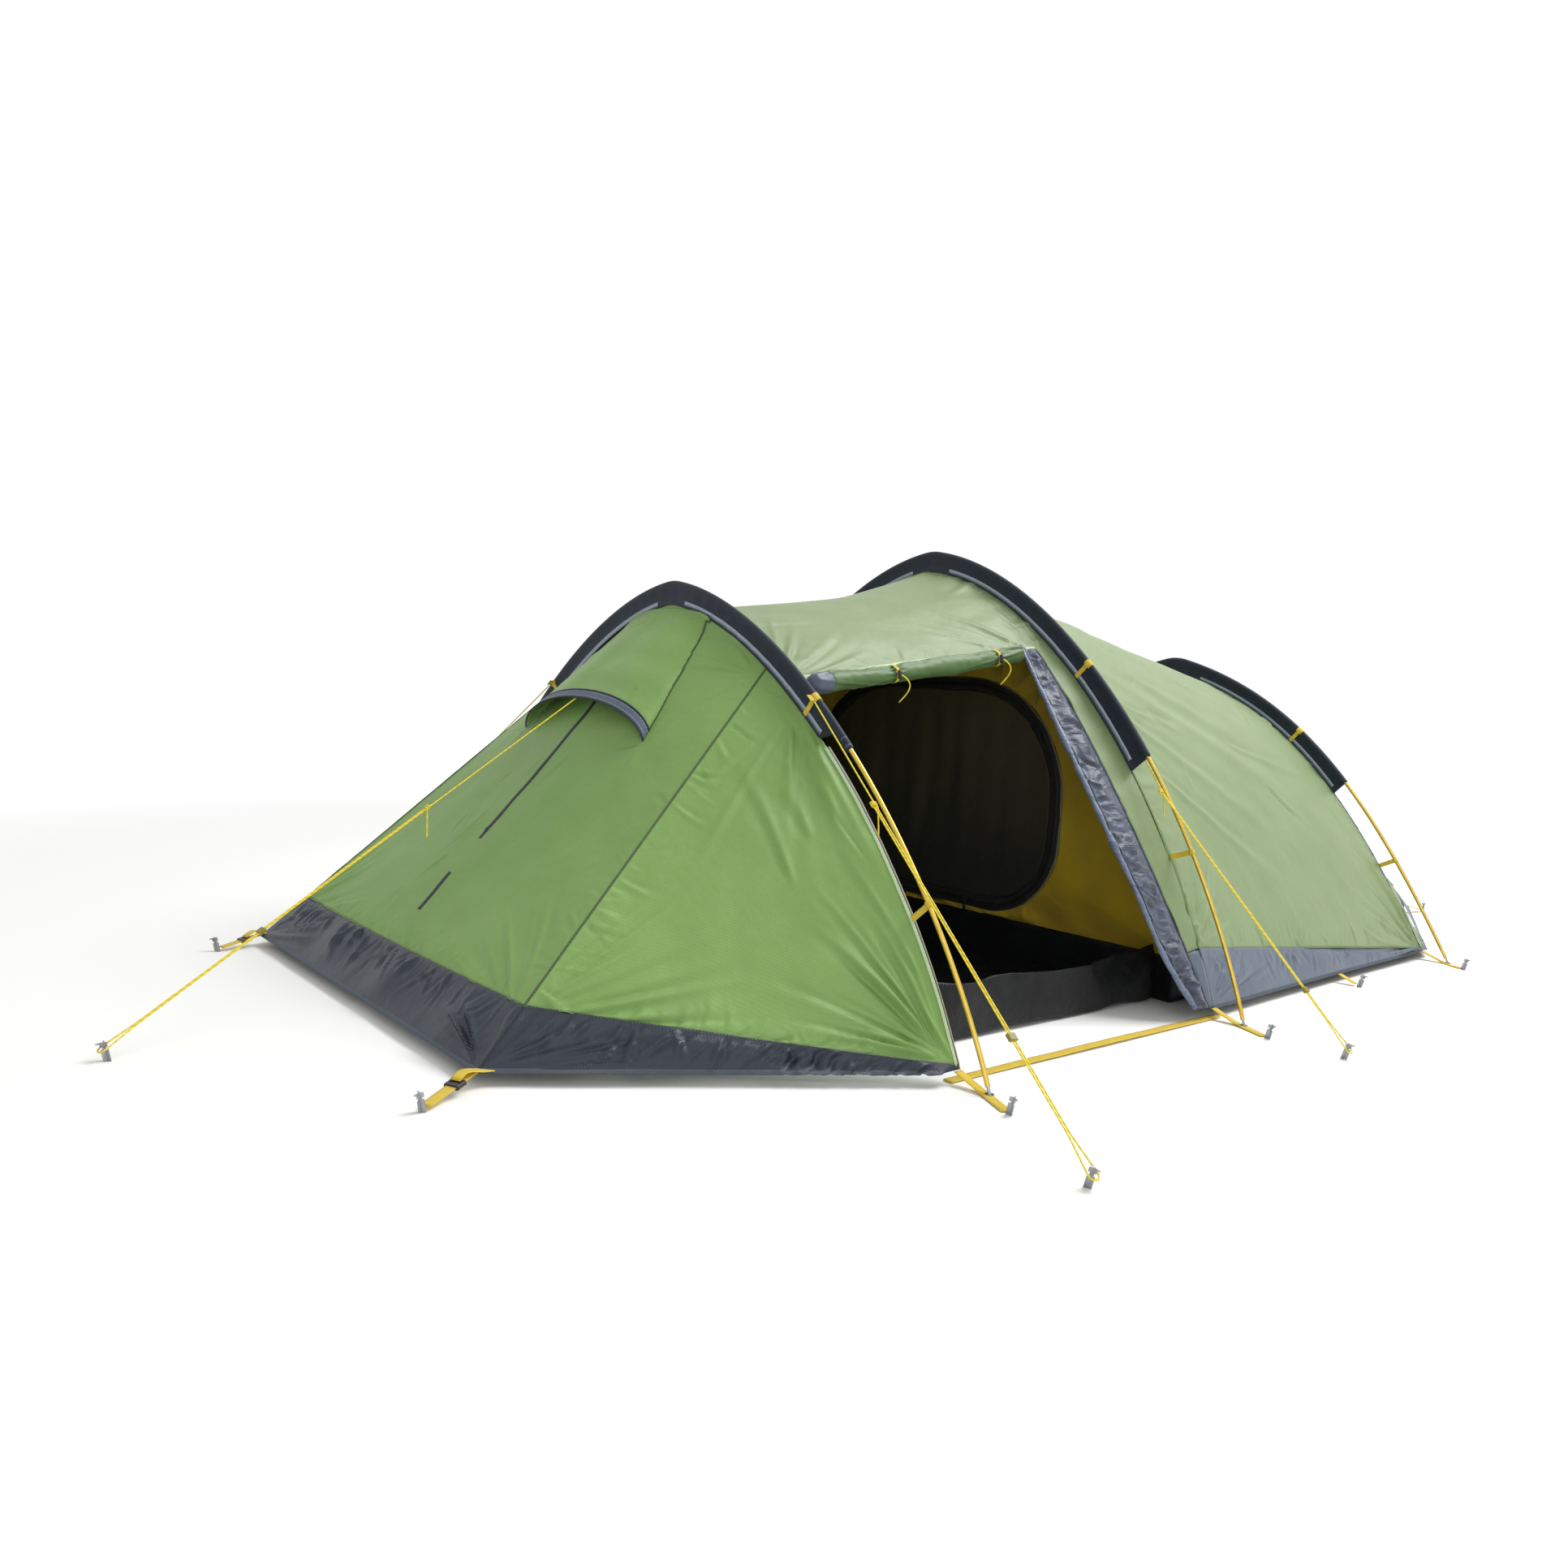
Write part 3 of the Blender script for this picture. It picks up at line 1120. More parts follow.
def make_front_end():
    """The sloping front: two side panels, the middle panel with its vent, and the skirt."""
    lines = end_lines(FRONT_HOOP, FLY_INSETS, FRONT_HEM, HEM_HEIGHT, 0.040)
    names = ("front_near_panel", "front_panel", "front_far_panel")
    panels, skirts = [], []
    for index, (name, rows) in enumerate(zip(names, lines)):
        seam = at_seam(rows)
        middle = index == 1
        grid = end_grid(rows, np.zeros(len(seam)), seam, 200, 0.006 if middle else 0.014)
        relief = 0.0032 * waves(grid, 0.45, 61 + index) + 0.0012 * waves(grid, 0.13, 64 + index)
        side = index - 1
        folds = tucks(grid, "last_column", 46, 71 + index, 0.05)
        if middle:
            folds += tucks(grid, "first_row", 20, 66, 0.05) + tucks(grid, "last_row", 20, 67, 0.05)
            folds += loose(grid[70:-70, 70:], (-0.66, 0.25, -0.75), 12, 68, 0.08, 0.005, 0.0020)
            for way in (-1, 1):
                folds += pulls(grid, (-1.64, way * 0.55, 0.12), 14, 0.42, 69 + way)
                folds += pulls(grid, (-0.94, way * 0.36, 0.72), 7, 0.30, 72 + way)
                folds += pulls(grid, (-1.165, way * 0.25, 0.56), 5, 0.12, 75 + way, 0.005, 0.0020)
        else:
            seam_row, flank = ("last_row", grid[:120]) if side < 0 else ("first_row", grid[-120:])
            folds += tucks(grid, seam_row, 34, 78 + side, 0.07, 0.005, 0.0028)
            folds += pulls(grid, (-1.64, side * 0.56, 0.12), 22, 0.55, 81 + side, 0.006, 0.0036)
            folds += pulls(grid, (-0.93, side * 0.93, 0.05), 22, 0.46, 84 + side, 0.006, 0.0040)
            folds += pulls(grid, (-0.925, side * 0.46, 0.655), 12, 0.55, 87 + side, 0.011, 0.0038)
            folds += loose(flank[:, 10:110], (-0.12, -0.62 * side, 0.75), 9, 90 + side, 0.28, 0.009,
                           0.0032, 0.10)
        relief += folded(grid, folds)
        edge = np.sin(np.pi * np.linspace(0, 1, len(seam)))[:, None].clip(0) ** 0.25
        panels.append(lifted(grid, relief * edge))
        piece = make_piece(name + "_cloth", [panels[-1]], thickness=0.0 if middle else CLOTH)
        if middle:
            cut_vent(piece)
            thicken(piece, CLOTH)
        place_on(piece, front_green, [name])
        low = end_grid(rows, seam, np.ones(len(seam)), 30, 0.0)
        hang = np.sin(np.pi * np.linspace(0, 1, 30))[None, :]
        fall = 0.005 * hang * waves(low, 0.22, 81 + index, (1.0, 1.0, 0.2))
        folds = tucks(low, "first_column", 56, 84 + index, 0.08, 0.005, 0.0042, 0.5)
        for way in ((-1, 1) if middle else (side,)):
            folds += pulls(low, (-1.66, way * 0.56, 0.03), 18, 0.34, 87 + index + way, 0.005, 0.0050)
        fall += folded(low, folds) * hang ** 0.5
        skirts.append(lifted(low, fall * edge, FRONT_INSIDE))
    skirt = make_piece("front_skirt_cloth", skirts, thickness=CLOTH, inside=FRONT_INSIDE)
    place_on(skirt, front_slate, ["front_skirt"])
    return panels, skirts


front_panels, front_skirts = make_front_end()


def make_rear_end():
    """The long sloping foot end in one panel, and its skirt."""
    lines = end_lines(REAR_HOOP, FLY_INSETS, REAR_HEM, HEM_HEIGHT, 0.040, 110, 70)
    panels, skirts = [], []
    for index, rows in enumerate(lines):
        seam, side = at_seam(rows), index - 1
        grid = end_grid(rows, np.zeros(len(seam)), seam, 150, 0.006 if index == 1 else 0.014)
        relief = 0.0035 * waves(grid, 0.45, 91 + index) + 0.0014 * waves(grid, 0.14, 94 + index)
        folds = (tucks(grid, "last_column", 36, 97 + index, 0.05)
                 + tucks(grid, "first_column", 24, 98, 0.06))
        for way in ((-1, 1) if index == 1 else (side,)):
            folds += pulls(grid, (2.27, way * 0.48, 0.12), 16, 0.50, 100 + way)
            folds += pulls(grid, (1.35, way * 0.86, 0.06), 0 if index == 1 else 14, 0.40, 103 + way)
        relief += folded(grid, folds)
        edge = np.sin(np.pi * np.linspace(0, 1, len(seam)))[:, None].clip(0) ** 0.25
        panels.append(lifted(grid, relief * edge, REAR_PANEL_INSIDE))
        low = end_grid(rows, seam, np.ones(len(seam)), 24, 0.0)
        hang = np.sin(np.pi * np.linspace(0, 1, 24))[None, :]
        fall = 0.004 * hang * waves(low, 0.22, 101 + index)
        folds = tucks(low, "first_column", 34, 104 + index, 0.07, 0.005, 0.0035)
        fall += folded(low, folds) * hang ** 0.5
        fall *= 1.0 if index == 1 else 0.3
        skirts.append(lifted(low, fall * edge, REAR_INSIDE))
    piece = make_piece("rear_panel_cloth", panels, thickness=CLOTH, inside=REAR_PANEL_INSIDE,
                       weld=0.0004)
    place_on(piece, fly_green, ["rear_panel"])
    skirt = make_piece("rear_skirt_cloth", skirts, thickness=CLOTH, inside=REAR_INSIDE, weld=0.0004)
    place_on(skirt, fly_slate, ["rear_skirt"])
    return panels, skirts


rear_panels, rear_skirts = make_rear_end()


def sew_seams():
    """Felled seams where panels meet, the skirt seams and the folded hems."""
    def along(name, grid, edge, width, material, slot, inside=None, lift=0.0006):
        """A strip down the first or last column of a grid, or its near or far row."""
        at = {"first": np.s_[:, 0], "last": np.s_[:, -1], "near": np.s_[0], "far": np.s_[-1]}[edge]
        strip(name, grid[at], outward(grid, inside)[at], width, lift, material)

    for name, panel, edge in (("front_near_corner_seam", front_panels[0], "far"),
                              ("front_far_corner_seam", front_panels[2], "near"),
                              ("rear_near_corner_seam", rear_panels[0], "far"),
                              ("rear_far_corner_seam", rear_panels[2], "near")):
        along(name, panel, edge, 0.0038, dark_seam, "binding_dark", lift=0.0009)
    for end, panels, skirts, inside in (("front", front_panels, front_skirts, FRONT_INSIDE),
                                        ("rear", rear_panels, rear_skirts, REAR_INSIDE)):
        for place, panel, skirt in zip(("near", "middle", "far"), panels, skirts):
            along(f"{end}_{place}_skirt_seam", panel, "last", 0.005, green_seam, "fly_green")
            along(f"{end}_{place}_hem", skirt, "last", 0.009, slate_hem, "fly_slate", inside)
    along("sleeping_near_skirt_seam", sleeping_top, "first", 0.005, green_seam, "fly_green")
    along("sleeping_far_skirt_seam", sleeping_top, "last", 0.005, green_seam, "fly_green")
    for name, edge, width, material in (("middle_hoop", "near", 0.007, green_seam),
                                        ("rear_hoop", "far", 0.005, slate_hem)):
        along(name + "_cloth_seam", sleeping_top, edge, width, material, "fly_green", lift=0.001)
    for place, skirt in zip(("near", "far"), sleeping_skirts):
        along(f"sleeping_{place}_hem", skirt, "last", 0.009, slate_hem, "fly_slate", SLEEPING_INSIDE)
    along("porch_far_skirt_seam", porch_top, "last", 0.005, green_seam, "fly_green")
    along("porch_far_hem", porch_far_skirt, "last", 0.009, slate_hem, "fly_slate", PORCH_INSIDE)
    along("doorway_top_hem", porch_top[:PORCH_ROWS], "first", 0.010, pale_hem, "fly_green")


sew_seams()


def sew_front_trim():
    """The narrow stripe down the middle of the front and the zip tape beside the front hoop."""
    middle = front_panels[1][len(front_panels[1]) // 2]
    facing = outward(front_panels[1])[len(front_panels[1]) // 2]
    for name, start, finish in (("upper_stripe", -1.100, -1.384), ("lower_stripe", -1.446, -1.516)):
        inside = (middle[:, 0] <= start) & (middle[:, 0] >= finish)
        strip(name, middle[inside], facing[inside], 0.011, 0.0009, sleeve_cloth)
    panel = front_panels[0]
    low = panel[:, 0, 2] < 0.575
    strip("doorway_front_hem", panel[low, 1], outward(panel)[low, 1], 0.006, 0.0012,
          pale_hem)
    edge = panel[low, 0]
    facing = unit(np.cross(np.gradient(edge, axis=0), ALONG))
    facing *= np.sign(facing[:, 2:])
    strip("doorway_front_zip", edge + ALONG * 0.0055, facing, 0.009, 0.0, door_tape)


sew_front_trim()


# ---- sleeves ----
def make_sleeve(name, hoop, end_height, reflective_from, bare=0.0):
    """A pole sleeve standing on the cloth: a round channel for the pole on a flat sewn web.

    At each end the channel runs on for a bare length, with two tapes round it and no web.
    """
    pole, cloth = hoop_line(hoop), hoop_line(hoop, FLY_INSETS, HEM_HEIGHT)
    count = 300
    rows = []
    for line, height in ((pole, end_height), (cloth, end_height - 0.036)):
        ends = reach_at_height(line, height), reach_at_height(line, height, far=True)
        rows.append(at_reach(line, np.linspace(*ends, count)))
    up = rows[0] - rows[1]
    web = np.linalg.norm(up, axis=1)
    up /= web[:, None]
    half = [(0.0058, 0.000), (0.0054, 0.0018), (0.0022, 0.006), (0.0020, 0.018), (0.0022, None)]
    channel = [(0.0048, -0.011), (0.0069, -0.003), (0.0071, 0.002), (0.0048, 0.0062), (0.0, 0.0079)]
    along = reach_along(rows[0])[:, None]
    from_end = np.minimum(along, along[-1] - along)[:, 0]
    cut_away = (1 - smooth((from_end - bare) / 0.035)) * (bare > 0)
    closing = 0.45 + 0.55 * smooth(from_end / 0.006)
    grid = []
    for k in range(count):
        foot = (web[k] - 0.011) * cut_away[k]
        profile = [(a, foot + (h if h is not None else web[k] * 0.6) * (1 - foot / web[k]))
                   for a, h in half]
        profile += [(a, web[k] + h) for a, h in channel]
        profile = [(a * closing[k], web[k] + (h - web[k]) * (closing[k] if bare else 1.0))
                   for a, h in profile]
        profile += [(-a, h) for a, h in reversed(profile[:-1])]
        grid.append([(hoop[0] + a, *(rows[1][k] + up[k] * h)) for a, h in profile])
    grid = np.array(grid)
    ripple = 0.0016 * np.sin(along * 2 * np.pi / 0.045 + 2 * np.sin(along * 7)) * (
        0.5 + 0.5 * np.sin(along * 5.3 + hoop[0]))
    half_weights = [0, 0.1, 0.3, 0.3, 1, 0.4, 0, 0, 0]
    grid[..., 0] += ripple * np.array(half_weights + [0] + half_weights[::-1])[None, :]
    piece = make_piece(name + "_sleeve_cloth", [grid], inside=(hoop[0], 0.0, 0.3))
    cap_ends(piece, len(grid), grid.shape[1])
    place_on(piece, sleeve_cloth, [name + "_sleeve"])
    if bare:
        for number, reach in enumerate((0.010, 0.030), 1):
            here, ahead = at_reach(rows[0], np.array([reach, reach + 0.001]))
            middle = np.array([hoop[0], *here])
            inward = np.cross(ALONG, np.array([0.0, *unit(ahead - here)]))
            ring = ring_round(np.linspace(0, 2 * np.pi, 33), inward, ALONG)
            for side_label, side in SIDES:
                mirror = np.array((1.0, -side, 1.0))
                strip(f"{name}_{side_label}_sleeve_ring_{number}", (middle + ring * 0.0079) * mirror,
                      ring * mirror, 0.0045, 0.0, slate_hem)
    for face in (-1, 1):
        for (side_label, side), rows_here in zip(SIDES, (slice(4, None), slice(None, -4))):
            index = np.nonzero(rows[0][:, 0] * side > reflective_from)[0][rows_here]
            index = index[cut_away[index] < 0.02]
            low = rows[1][index] + up[index] * 0.004
            high = rows[1][index] + up[index] * 0.0155
            x = hoop[0] + face * 0.0034 + 0.3 * ripple[index, 0]
            tape = np.stack([np.column_stack([x, low]), np.column_stack([x, high])], axis=1)
            label = "front" if face < 0 else "rear"
            band = make_piece(f"{name}_{side_label}_{label}_reflective", [tape], thickness=0.0004,
                              inside=(hoop[0] - face, 0.0, 0.3))
            place_on(band, reflective)


def cap_ends(piece, rows, columns):
    """Close the two open ends of a piece made from one grid, and its long open side."""
    shape = bmesh.new()
    shape.from_mesh(piece.data)
    shape.verts.ensure_lookup_table()
    for k in range(rows - 1):
        first, last = k * columns, k * columns + columns - 1
        shape.faces.new([shape.verts[i] for i in (first, last, last + columns, first + columns)])
    shape.faces.new([shape.verts[i] for i in range(columns)])
    shape.faces.new([shape.verts[(rows - 1) * columns + i] for i in reversed(range(columns))])
    bmesh.ops.recalc_face_normals(shape, faces=shape.faces)
    shape.to_mesh(piece.data)
    shape.free()


make_sleeve("front", FRONT_HOOP, 0.570, 0.055, 0.052)
make_sleeve("middle", MIDDLE_HOOP, 0.578, 0.065)
make_sleeve("rear", REAR_HOOP, 0.508, 0.10)


# ---- vent hood ----
def make_hood():
    """The stiffened hood over the vent: a shallow arch whose rim stands almost upright."""
    down = unit(SLOPE_FOOT - SLOPE_TOP)
    out = np.array([down[2], 0.0, -down[0]])
    lean = math.radians(HOOD_RIM_LEAN)
    inside = (-0.9, 0.0, 0.3)
    panel = front_panels[1]
    surface = BVHTree.FromPolygons(panel.reshape(-1, 3).tolist(),
                                   grid_quads(*panel.shape[:2]).tolist())

    def section(distance, half_width, rise, way):
        turn = np.linspace(0.02, np.pi - 0.02, 160)
        height = (rise + HOOD_EDGE_DEPTH) * np.sin(turn) - HOOD_EDGE_DEPTH
        return (SLOPE_TOP + down * distance + np.outer(-half_width * np.cos(turn), (0, 1, 0))
                + np.outer(height, way))

    root = section(*HOOD_ROOT, out)
    rim = section(*HOOD_RIM, out * math.cos(lean) - down * math.sin(lean))

    def seated(share):
        """The hood's arch at a share of its length, cut off where it meets the panel."""
        row = root + (rim - root) * share
        row[:, 0] = np.minimum(row[:, 0], FRONT_HOOP[0] - 0.009)
        clear = [(np.array(p) - np.array(surface.find_nearest(Vector(p))[0])) @ out for p in row]
        places = np.nonzero(np.array(clear) > 0.0006)[0]
        cut = np.linspace(max(places[0] - 0.5, 0), min(places[-1] + 0.5, len(row) - 1), 110)
        return np.column_stack([np.interp(cut, np.arange(len(row)), row[:, k]) for k in range(3)])

    shares = np.linspace(0, 1, 90)
    hood = np.array([seated(share) for share in shares])
    relief = 0.0018 * waves(hood, 0.12, 111)
    relief += folded(hood, tucks(hood, "first_row", 16, 112, 0.07, 0.005, 0.0022)
                     + loose(hood, (-0.6, 0.3, -0.5), 5, 113, 0.10, 0.006, 0.0020))
    hold = smooth(shares * 6) * smooth((1.03 - shares) * 6)
    held = hold[:, None] * np.sin(np.pi * np.linspace(0, 1, 110))[None, :].clip(0) ** 0.3
    top = lifted(hood, relief * held, inside)
    piece = make_piece("vent_hood_cloth", [top], thickness=CLOTH, inside=inside)
    place_on(piece, front_green, ["vent_hood"])
    for label, first, last, lift, material in (("trim", 0.928, 1.006, 0.0024, hood_trim),
                                               ("upper_binding", 0.922, 0.932, 0.0034, sleeve_cloth),
                                               ("rim_binding", 0.996, 1.010, 0.0034, sleeve_cloth)):
        rows = np.array([seated(share) for share in np.linspace(first, last, 5)])
        band = make_piece("hood_" + label, [lifted(rows, lift, inside).transpose(1, 0, 2)],
                          thickness=0.0026, inside=inside)
        place_on(band, material)
    for side, column in (("near", 0), ("far", -1)):
        line = hood[:, column]
        facing = np.repeat(out[None, :], len(line), axis=0)
        strip(f"hood_{side}_seam", line, facing, 0.0045, 0.0014, dark_seam)


make_hood()


# ---- rolled door ----
def make_door_roll():
    """The porch door rolled up along the doorway's top: crumpled, nipped in by its two ties."""
    way = ROLL_REAR - ROLL_FRONT
    length = np.linalg.norm(way)
    way = way / length
    side = unit(np.cross((0, 0, 1), way))
    up = np.cross(way, side)
    shares = np.linspace(0, 1, 170)
    angle = np.linspace(0, 2 * np.pi, 64, endpoint=False)
    nip = sum(np.exp(-((shares - tie) * length / 0.022) ** 2) for tie in ROLL_TIES)
    swell = 1.0 + 0.10 * np.sin(shares * 17) * np.sin(shares * 6 + 1) - 0.24 * nip
    closing = np.clip(np.minimum(shares, 1 - shares) * length / 0.018, 0.0, 1.0) ** 0.5
    centre = (ROLL_FRONT + np.outer(shares * length, way)
              + np.outer(0.014 - 0.004 * np.sin(np.pi * shares), (0, 0, 1)))
    ring = ring_round(angle, side, up)[None]
    around = centre[:, None] + ring * ROLL_RADIUS
    crumple = 0.0014 * waves(around, 0.10, 121) + 0.0005 * waves(around, 0.03, 122)
    random = np.random.default_rng(123)
    for _ in range(11):
        begin, twist, middle = random.uniform(0, 2 * np.pi), random.uniform(-7, 7), random.uniform(0, 1)
        off = (angle[None, :] - begin - twist * (shares[:, None] - middle) + np.pi) % (2 * np.pi) - np.pi
        ridge = np.exp(-(off / 0.16) ** 2) - 0.5 * np.exp(-((off - 0.30) / 0.2) ** 2)
        reach = np.exp(-((shares[:, None] - middle) / random.uniform(0.10, 0.22)) ** 2)
        crumple += random.uniform(0.0015, 0.0032) * ridge * reach
    past_lap = (angle[None, :] - 1.1 - 0.8 * shares[:, None]) % (2 * np.pi)
    lap = 0.0030 * np.clip(1 - np.abs(past_lap - 0.25) / 0.25, 0, 1)
    pleats = 0.0016 * nip[:, None] * np.sin(angle * 9)[None, :]
    radius = (ROLL_RADIUS * 0.77 * swell[:, None] + crumple + lap + pleats) * closing[:, None]
    radius = np.minimum(radius, ROLL_RADIUS * 1.15)
    grid = centre[:, None] + ring * radius[..., None]
    skirt_rows = 14
    for label, part, material, nodes in (
            ("rolled_porch_door", grid[skirt_rows:], roll_green, ["door_roll"]),
            ("rolled_door_skirt", grid[:skirt_rows + 1], fly_slate, [])):
        roll = make_piece(label, [np.swapaxes(part, 0, 1)], closed=True, inside=centre.mean(axis=0))
        fill_holes(roll)
        place_on(roll, material, nodes)
    for index, share in enumerate(ROLL_TIES):
        middle = (ROLL_FRONT + way * share * length
                  + np.array([0, 0, 0.014 - 0.004 * math.sin(math.pi * share)]))
        facing = ring_round(np.linspace(0, 2 * np.pi, 49), side, up)
        strip(f"door_tie_{index + 1}", middle + facing * ROLL_RADIUS * 0.73, facing, 0.009, 0.001,
              yellow_webbing, nodes=["door_ties"])
        outer = middle + side * (-ROLL_RADIUS if side[1] > 0 else ROLL_RADIUS) * 0.84
        ends = bmesh.new()
        share_down = np.linspace(0, 1, 26)[:, None]
        path = (outer + way * 0.020 * np.sin(share_down * 3.0)
                - np.array([0, 0.014, 0]) * np.sin(share_down * np.pi)
                - np.array([0, 0, 1.0]) * 0.064 * share_down ** 1.2)
        tube_along(ends, path.tolist(), 0.0016)
        place_on(as_object(ends, f"door_tie_cord_{index + 1}"), yellow_cord)
        button = bmesh.new()
        tube_along(button, [(outer + up * h).tolist() for h in (0.010, 0.005, -0.006, -0.011)],
                   [0.003, 0.0046, 0.0046, 0.003], 12)
        place_on(as_object(button, f"door_tie_toggle_{index + 1}"), black_nylon)


make_door_roll()


# ---- inner tent ----
def door_outline(inset, count=240):
    """The inner door's outline in (y, z) drawn in by an inset, from its lowest middle point."""
    quarter = np.linspace(0, np.pi / 2, 40)
    bottom, top = DOOR_BOTTOM + inset, DOOR_BOTTOM + DOOR_HEIGHT - inset
    foot_radius, top_radius = DOOR_FOOT_RADIUS - inset, DOOR_TOP_RADIUS - inset
    foot_y, top_y = DOOR_HALF_WIDTH - DOOR_FOOT_RADIUS, DOOR_HALF_WIDTH - DOOR_TOP_RADIUS
    line = [(0.0, bottom)]
    for y, z, radius, begin in ((foot_y, bottom + foot_radius, foot_radius, -np.pi / 2),
                                (top_y, top - top_radius, top_radius, 0.0),
                                (-top_y, top - top_radius, top_radius, np.pi / 2),
                                (-foot_y, bottom + foot_radius, foot_radius, np.pi)):
        line += [(y + radius * math.cos(begin + a), z + radius * math.sin(begin + a)) for a in quarter]
    line = np.array(line + [(0.0, bottom)])
    return at_reach(line, np.linspace(0, reach_along(line)[-1], count, endpoint=False))


def arch_from(middle, directions):
    """Where rays from a middle point meet the inner front wall's outer edge."""
    arch = hoop_line(MIDDLE_HOOP, INNER_INSETS, INNER_BASE)
    arch = np.vstack([arch, arch[0]])
    points = []
    for way in directions:
        best = None
        for a, b in zip(arch, arch[1:]):
            edge = b - a
            turn = way[0] * edge[1] - way[1] * edge[0]
            if abs(turn) < 1e-12:
                continue
            off = a - middle
            reach = (off[0] * edge[1] - off[1] * edge[0]) / turn
            share = (off[0] * way[1] - off[1] * way[0]) / turn
            if reach > 0 and -1e-9 <= share <= 1 + 1e-9:
                best = reach if best is None else max(best, reach)
        points.append(middle + way * best)
    return np.array(points)


def make_inner_front():
    """The mustard wall with its round door opening, the taped zip round it, and the mesh door."""
    middle = np.array([0.0, 0.44])
    edge = door_outline(0.0, 480)
    ways = unit(edge - middle)
    outer = arch_from(middle, ways)
    shares = np.linspace(0, 1, 48)[None, :, None]
    flat = edge[:, None] + (outer - edge)[:, None] * shares
    grid = on_wall(flat)
    turn = np.arctan2(ways[:, 1], ways[:, 0])[:, None]
    pull = np.sin(turn * 34 + 1.5 * np.sin(turn * 5)) * (0.6 + 0.4 * np.sin(turn * 3 + 1))
    fade = np.sin(np.pi * np.linspace(0.02, 0.98, 48))[None, :]
    grid[..., 0] += 0.0045 * pull * fade + 0.006 * waves(grid, 0.16, 131) * fade
    grid[..., 0] -= folded(grid, tucks(grid, "first_column", 40, 132, 0.07, 0.005, 0.0030)
                           + tucks(grid, "last_column", 40, 136, 0.09, 0.006, 0.0035)) * fade
    wall = make_piece("inner_front_wall_cloth", [grid], closed=True, thickness=CLOTH,
                      inside=INNER_INSIDE)
    place_on(wall, inner_mustard, ["inner_front_wall"])

    rings = np.array([0.0005, 0.004, 0.009, 0.015, 0.019, 0.023, 0.029, 0.034, 0.0375])
    heights = np.array([0.0010, 0.0030, 0.0036, 0.0030, 0.0052, 0.0030, 0.0036, 0.0030, 0.0010])
    tape = np.stack([door_outline(inset, 300) for inset in rings], axis=1)
    tape = on_wall(tape)
    tape[..., 0] -= heights[None, :]
    ripple = 0.0016 * waves(tape, 0.07, 133)
    tape[..., 0] += ripple
    tape[..., 1:] += 0.0018 * waves(tape, 0.14, 134)[..., None] * np.array([0.0, 1.0])
    binding = make_piece("door_binding_tape", [tape], closed=True, thickness=0.002,
                         inside=INNER_INSIDE)
    place_on(binding, door_tape, ["door_binding"])

    inner_edge = door_outline(BINDING_WIDTH - 0.002)
    shares = np.linspace(0.012, 1, 40)[None, :, None]
    panel = middle + (inner_edge - middle)[:, None] * shares
    panel = on_wall(panel)
    belly = 1 - np.linspace(0.012, 1, 40)[None, :] ** 2
    drape = 0.010 * belly * waves(panel, 0.20, 135, (1.0, 1.0, 0.25))
    drape += 0.0035 * np.sin(panel[..., 1] * 2 * np.pi / 0.09 + panel[..., 2] * 3) * belly ** 0.5
    panel[..., 0] += 0.014 * belly + drape
    door = make_piece("inner_door_mesh", [panel], closed=True, inside=INNER_INSIDE)
    fill_holes(door, lambda e: all((v.co.yz - Vector((0.0, 0.44))).length < 0.03 for v in e.verts))
    thicken(door, 0.0010, 0.0)
    place_on(door, door_mesh, ["inner_door"], "inner_door")


make_inner_front()


def make_inner_canopy():
    """The breathable canopy over the sleeping area and its sloping rear wall."""
    over = (MIDDLE_HOOP, REAR_HOOP, INNER_SAG, INNER_INSETS, INNER_BASE)
    stations = np.linspace(0.038, REAR_HOOP[0], 70)
    base = (lambda x: INNER_BASE)
    roof = roof_grid(*over, stations, base, base, 120)
    relief = 0.005 * waves(roof, 0.40, 141) + 0.0025 * waves(roof, 0.12, 142, (0.3, 1.0, 1.0))
    for corner in ((1.336, -0.74, 0.11), (1.336, 0.74, 0.11), (0.04, -0.80, 0.11), (0.04, 0.80, 0.11)):
        relief += folded(roof, pulls(roof, corner, 10, 0.40, 143, 0.012))
    roof = lifted(roof, relief - 0.004)
    canopy = make_piece("inner_canopy_cloth", [roof], thickness=CLOTH, inside=(0.6, 0.0, 0.2))
    place_on(canopy, inner_mustard, ["inner_canopy"])
    walls = []
    rear_lines = end_lines(REAR_HOOP, INNER_INSETS, INNER_REAR_HEM, INNER_BASE, 0.0, 50, 36)
    for index, rows in enumerate(rear_lines):
        grid = end_grid(rows, np.zeros(rows.shape[1]), np.ones(rows.shape[1]), 60, 0.010)
        walls.append(lifted(grid, 0.004 * waves(grid, 0.35, 147 + index) - 0.003, (1.5, 0.0, 0.15)))
    rear = make_piece("inner_rear_cloth", walls, thickness=CLOTH, inside=(1.5, 0.0, 0.15), weld=0.0006)
    place_on(rear, inner_mustard, ["inner_rear_wall"])


make_inner_canopy()


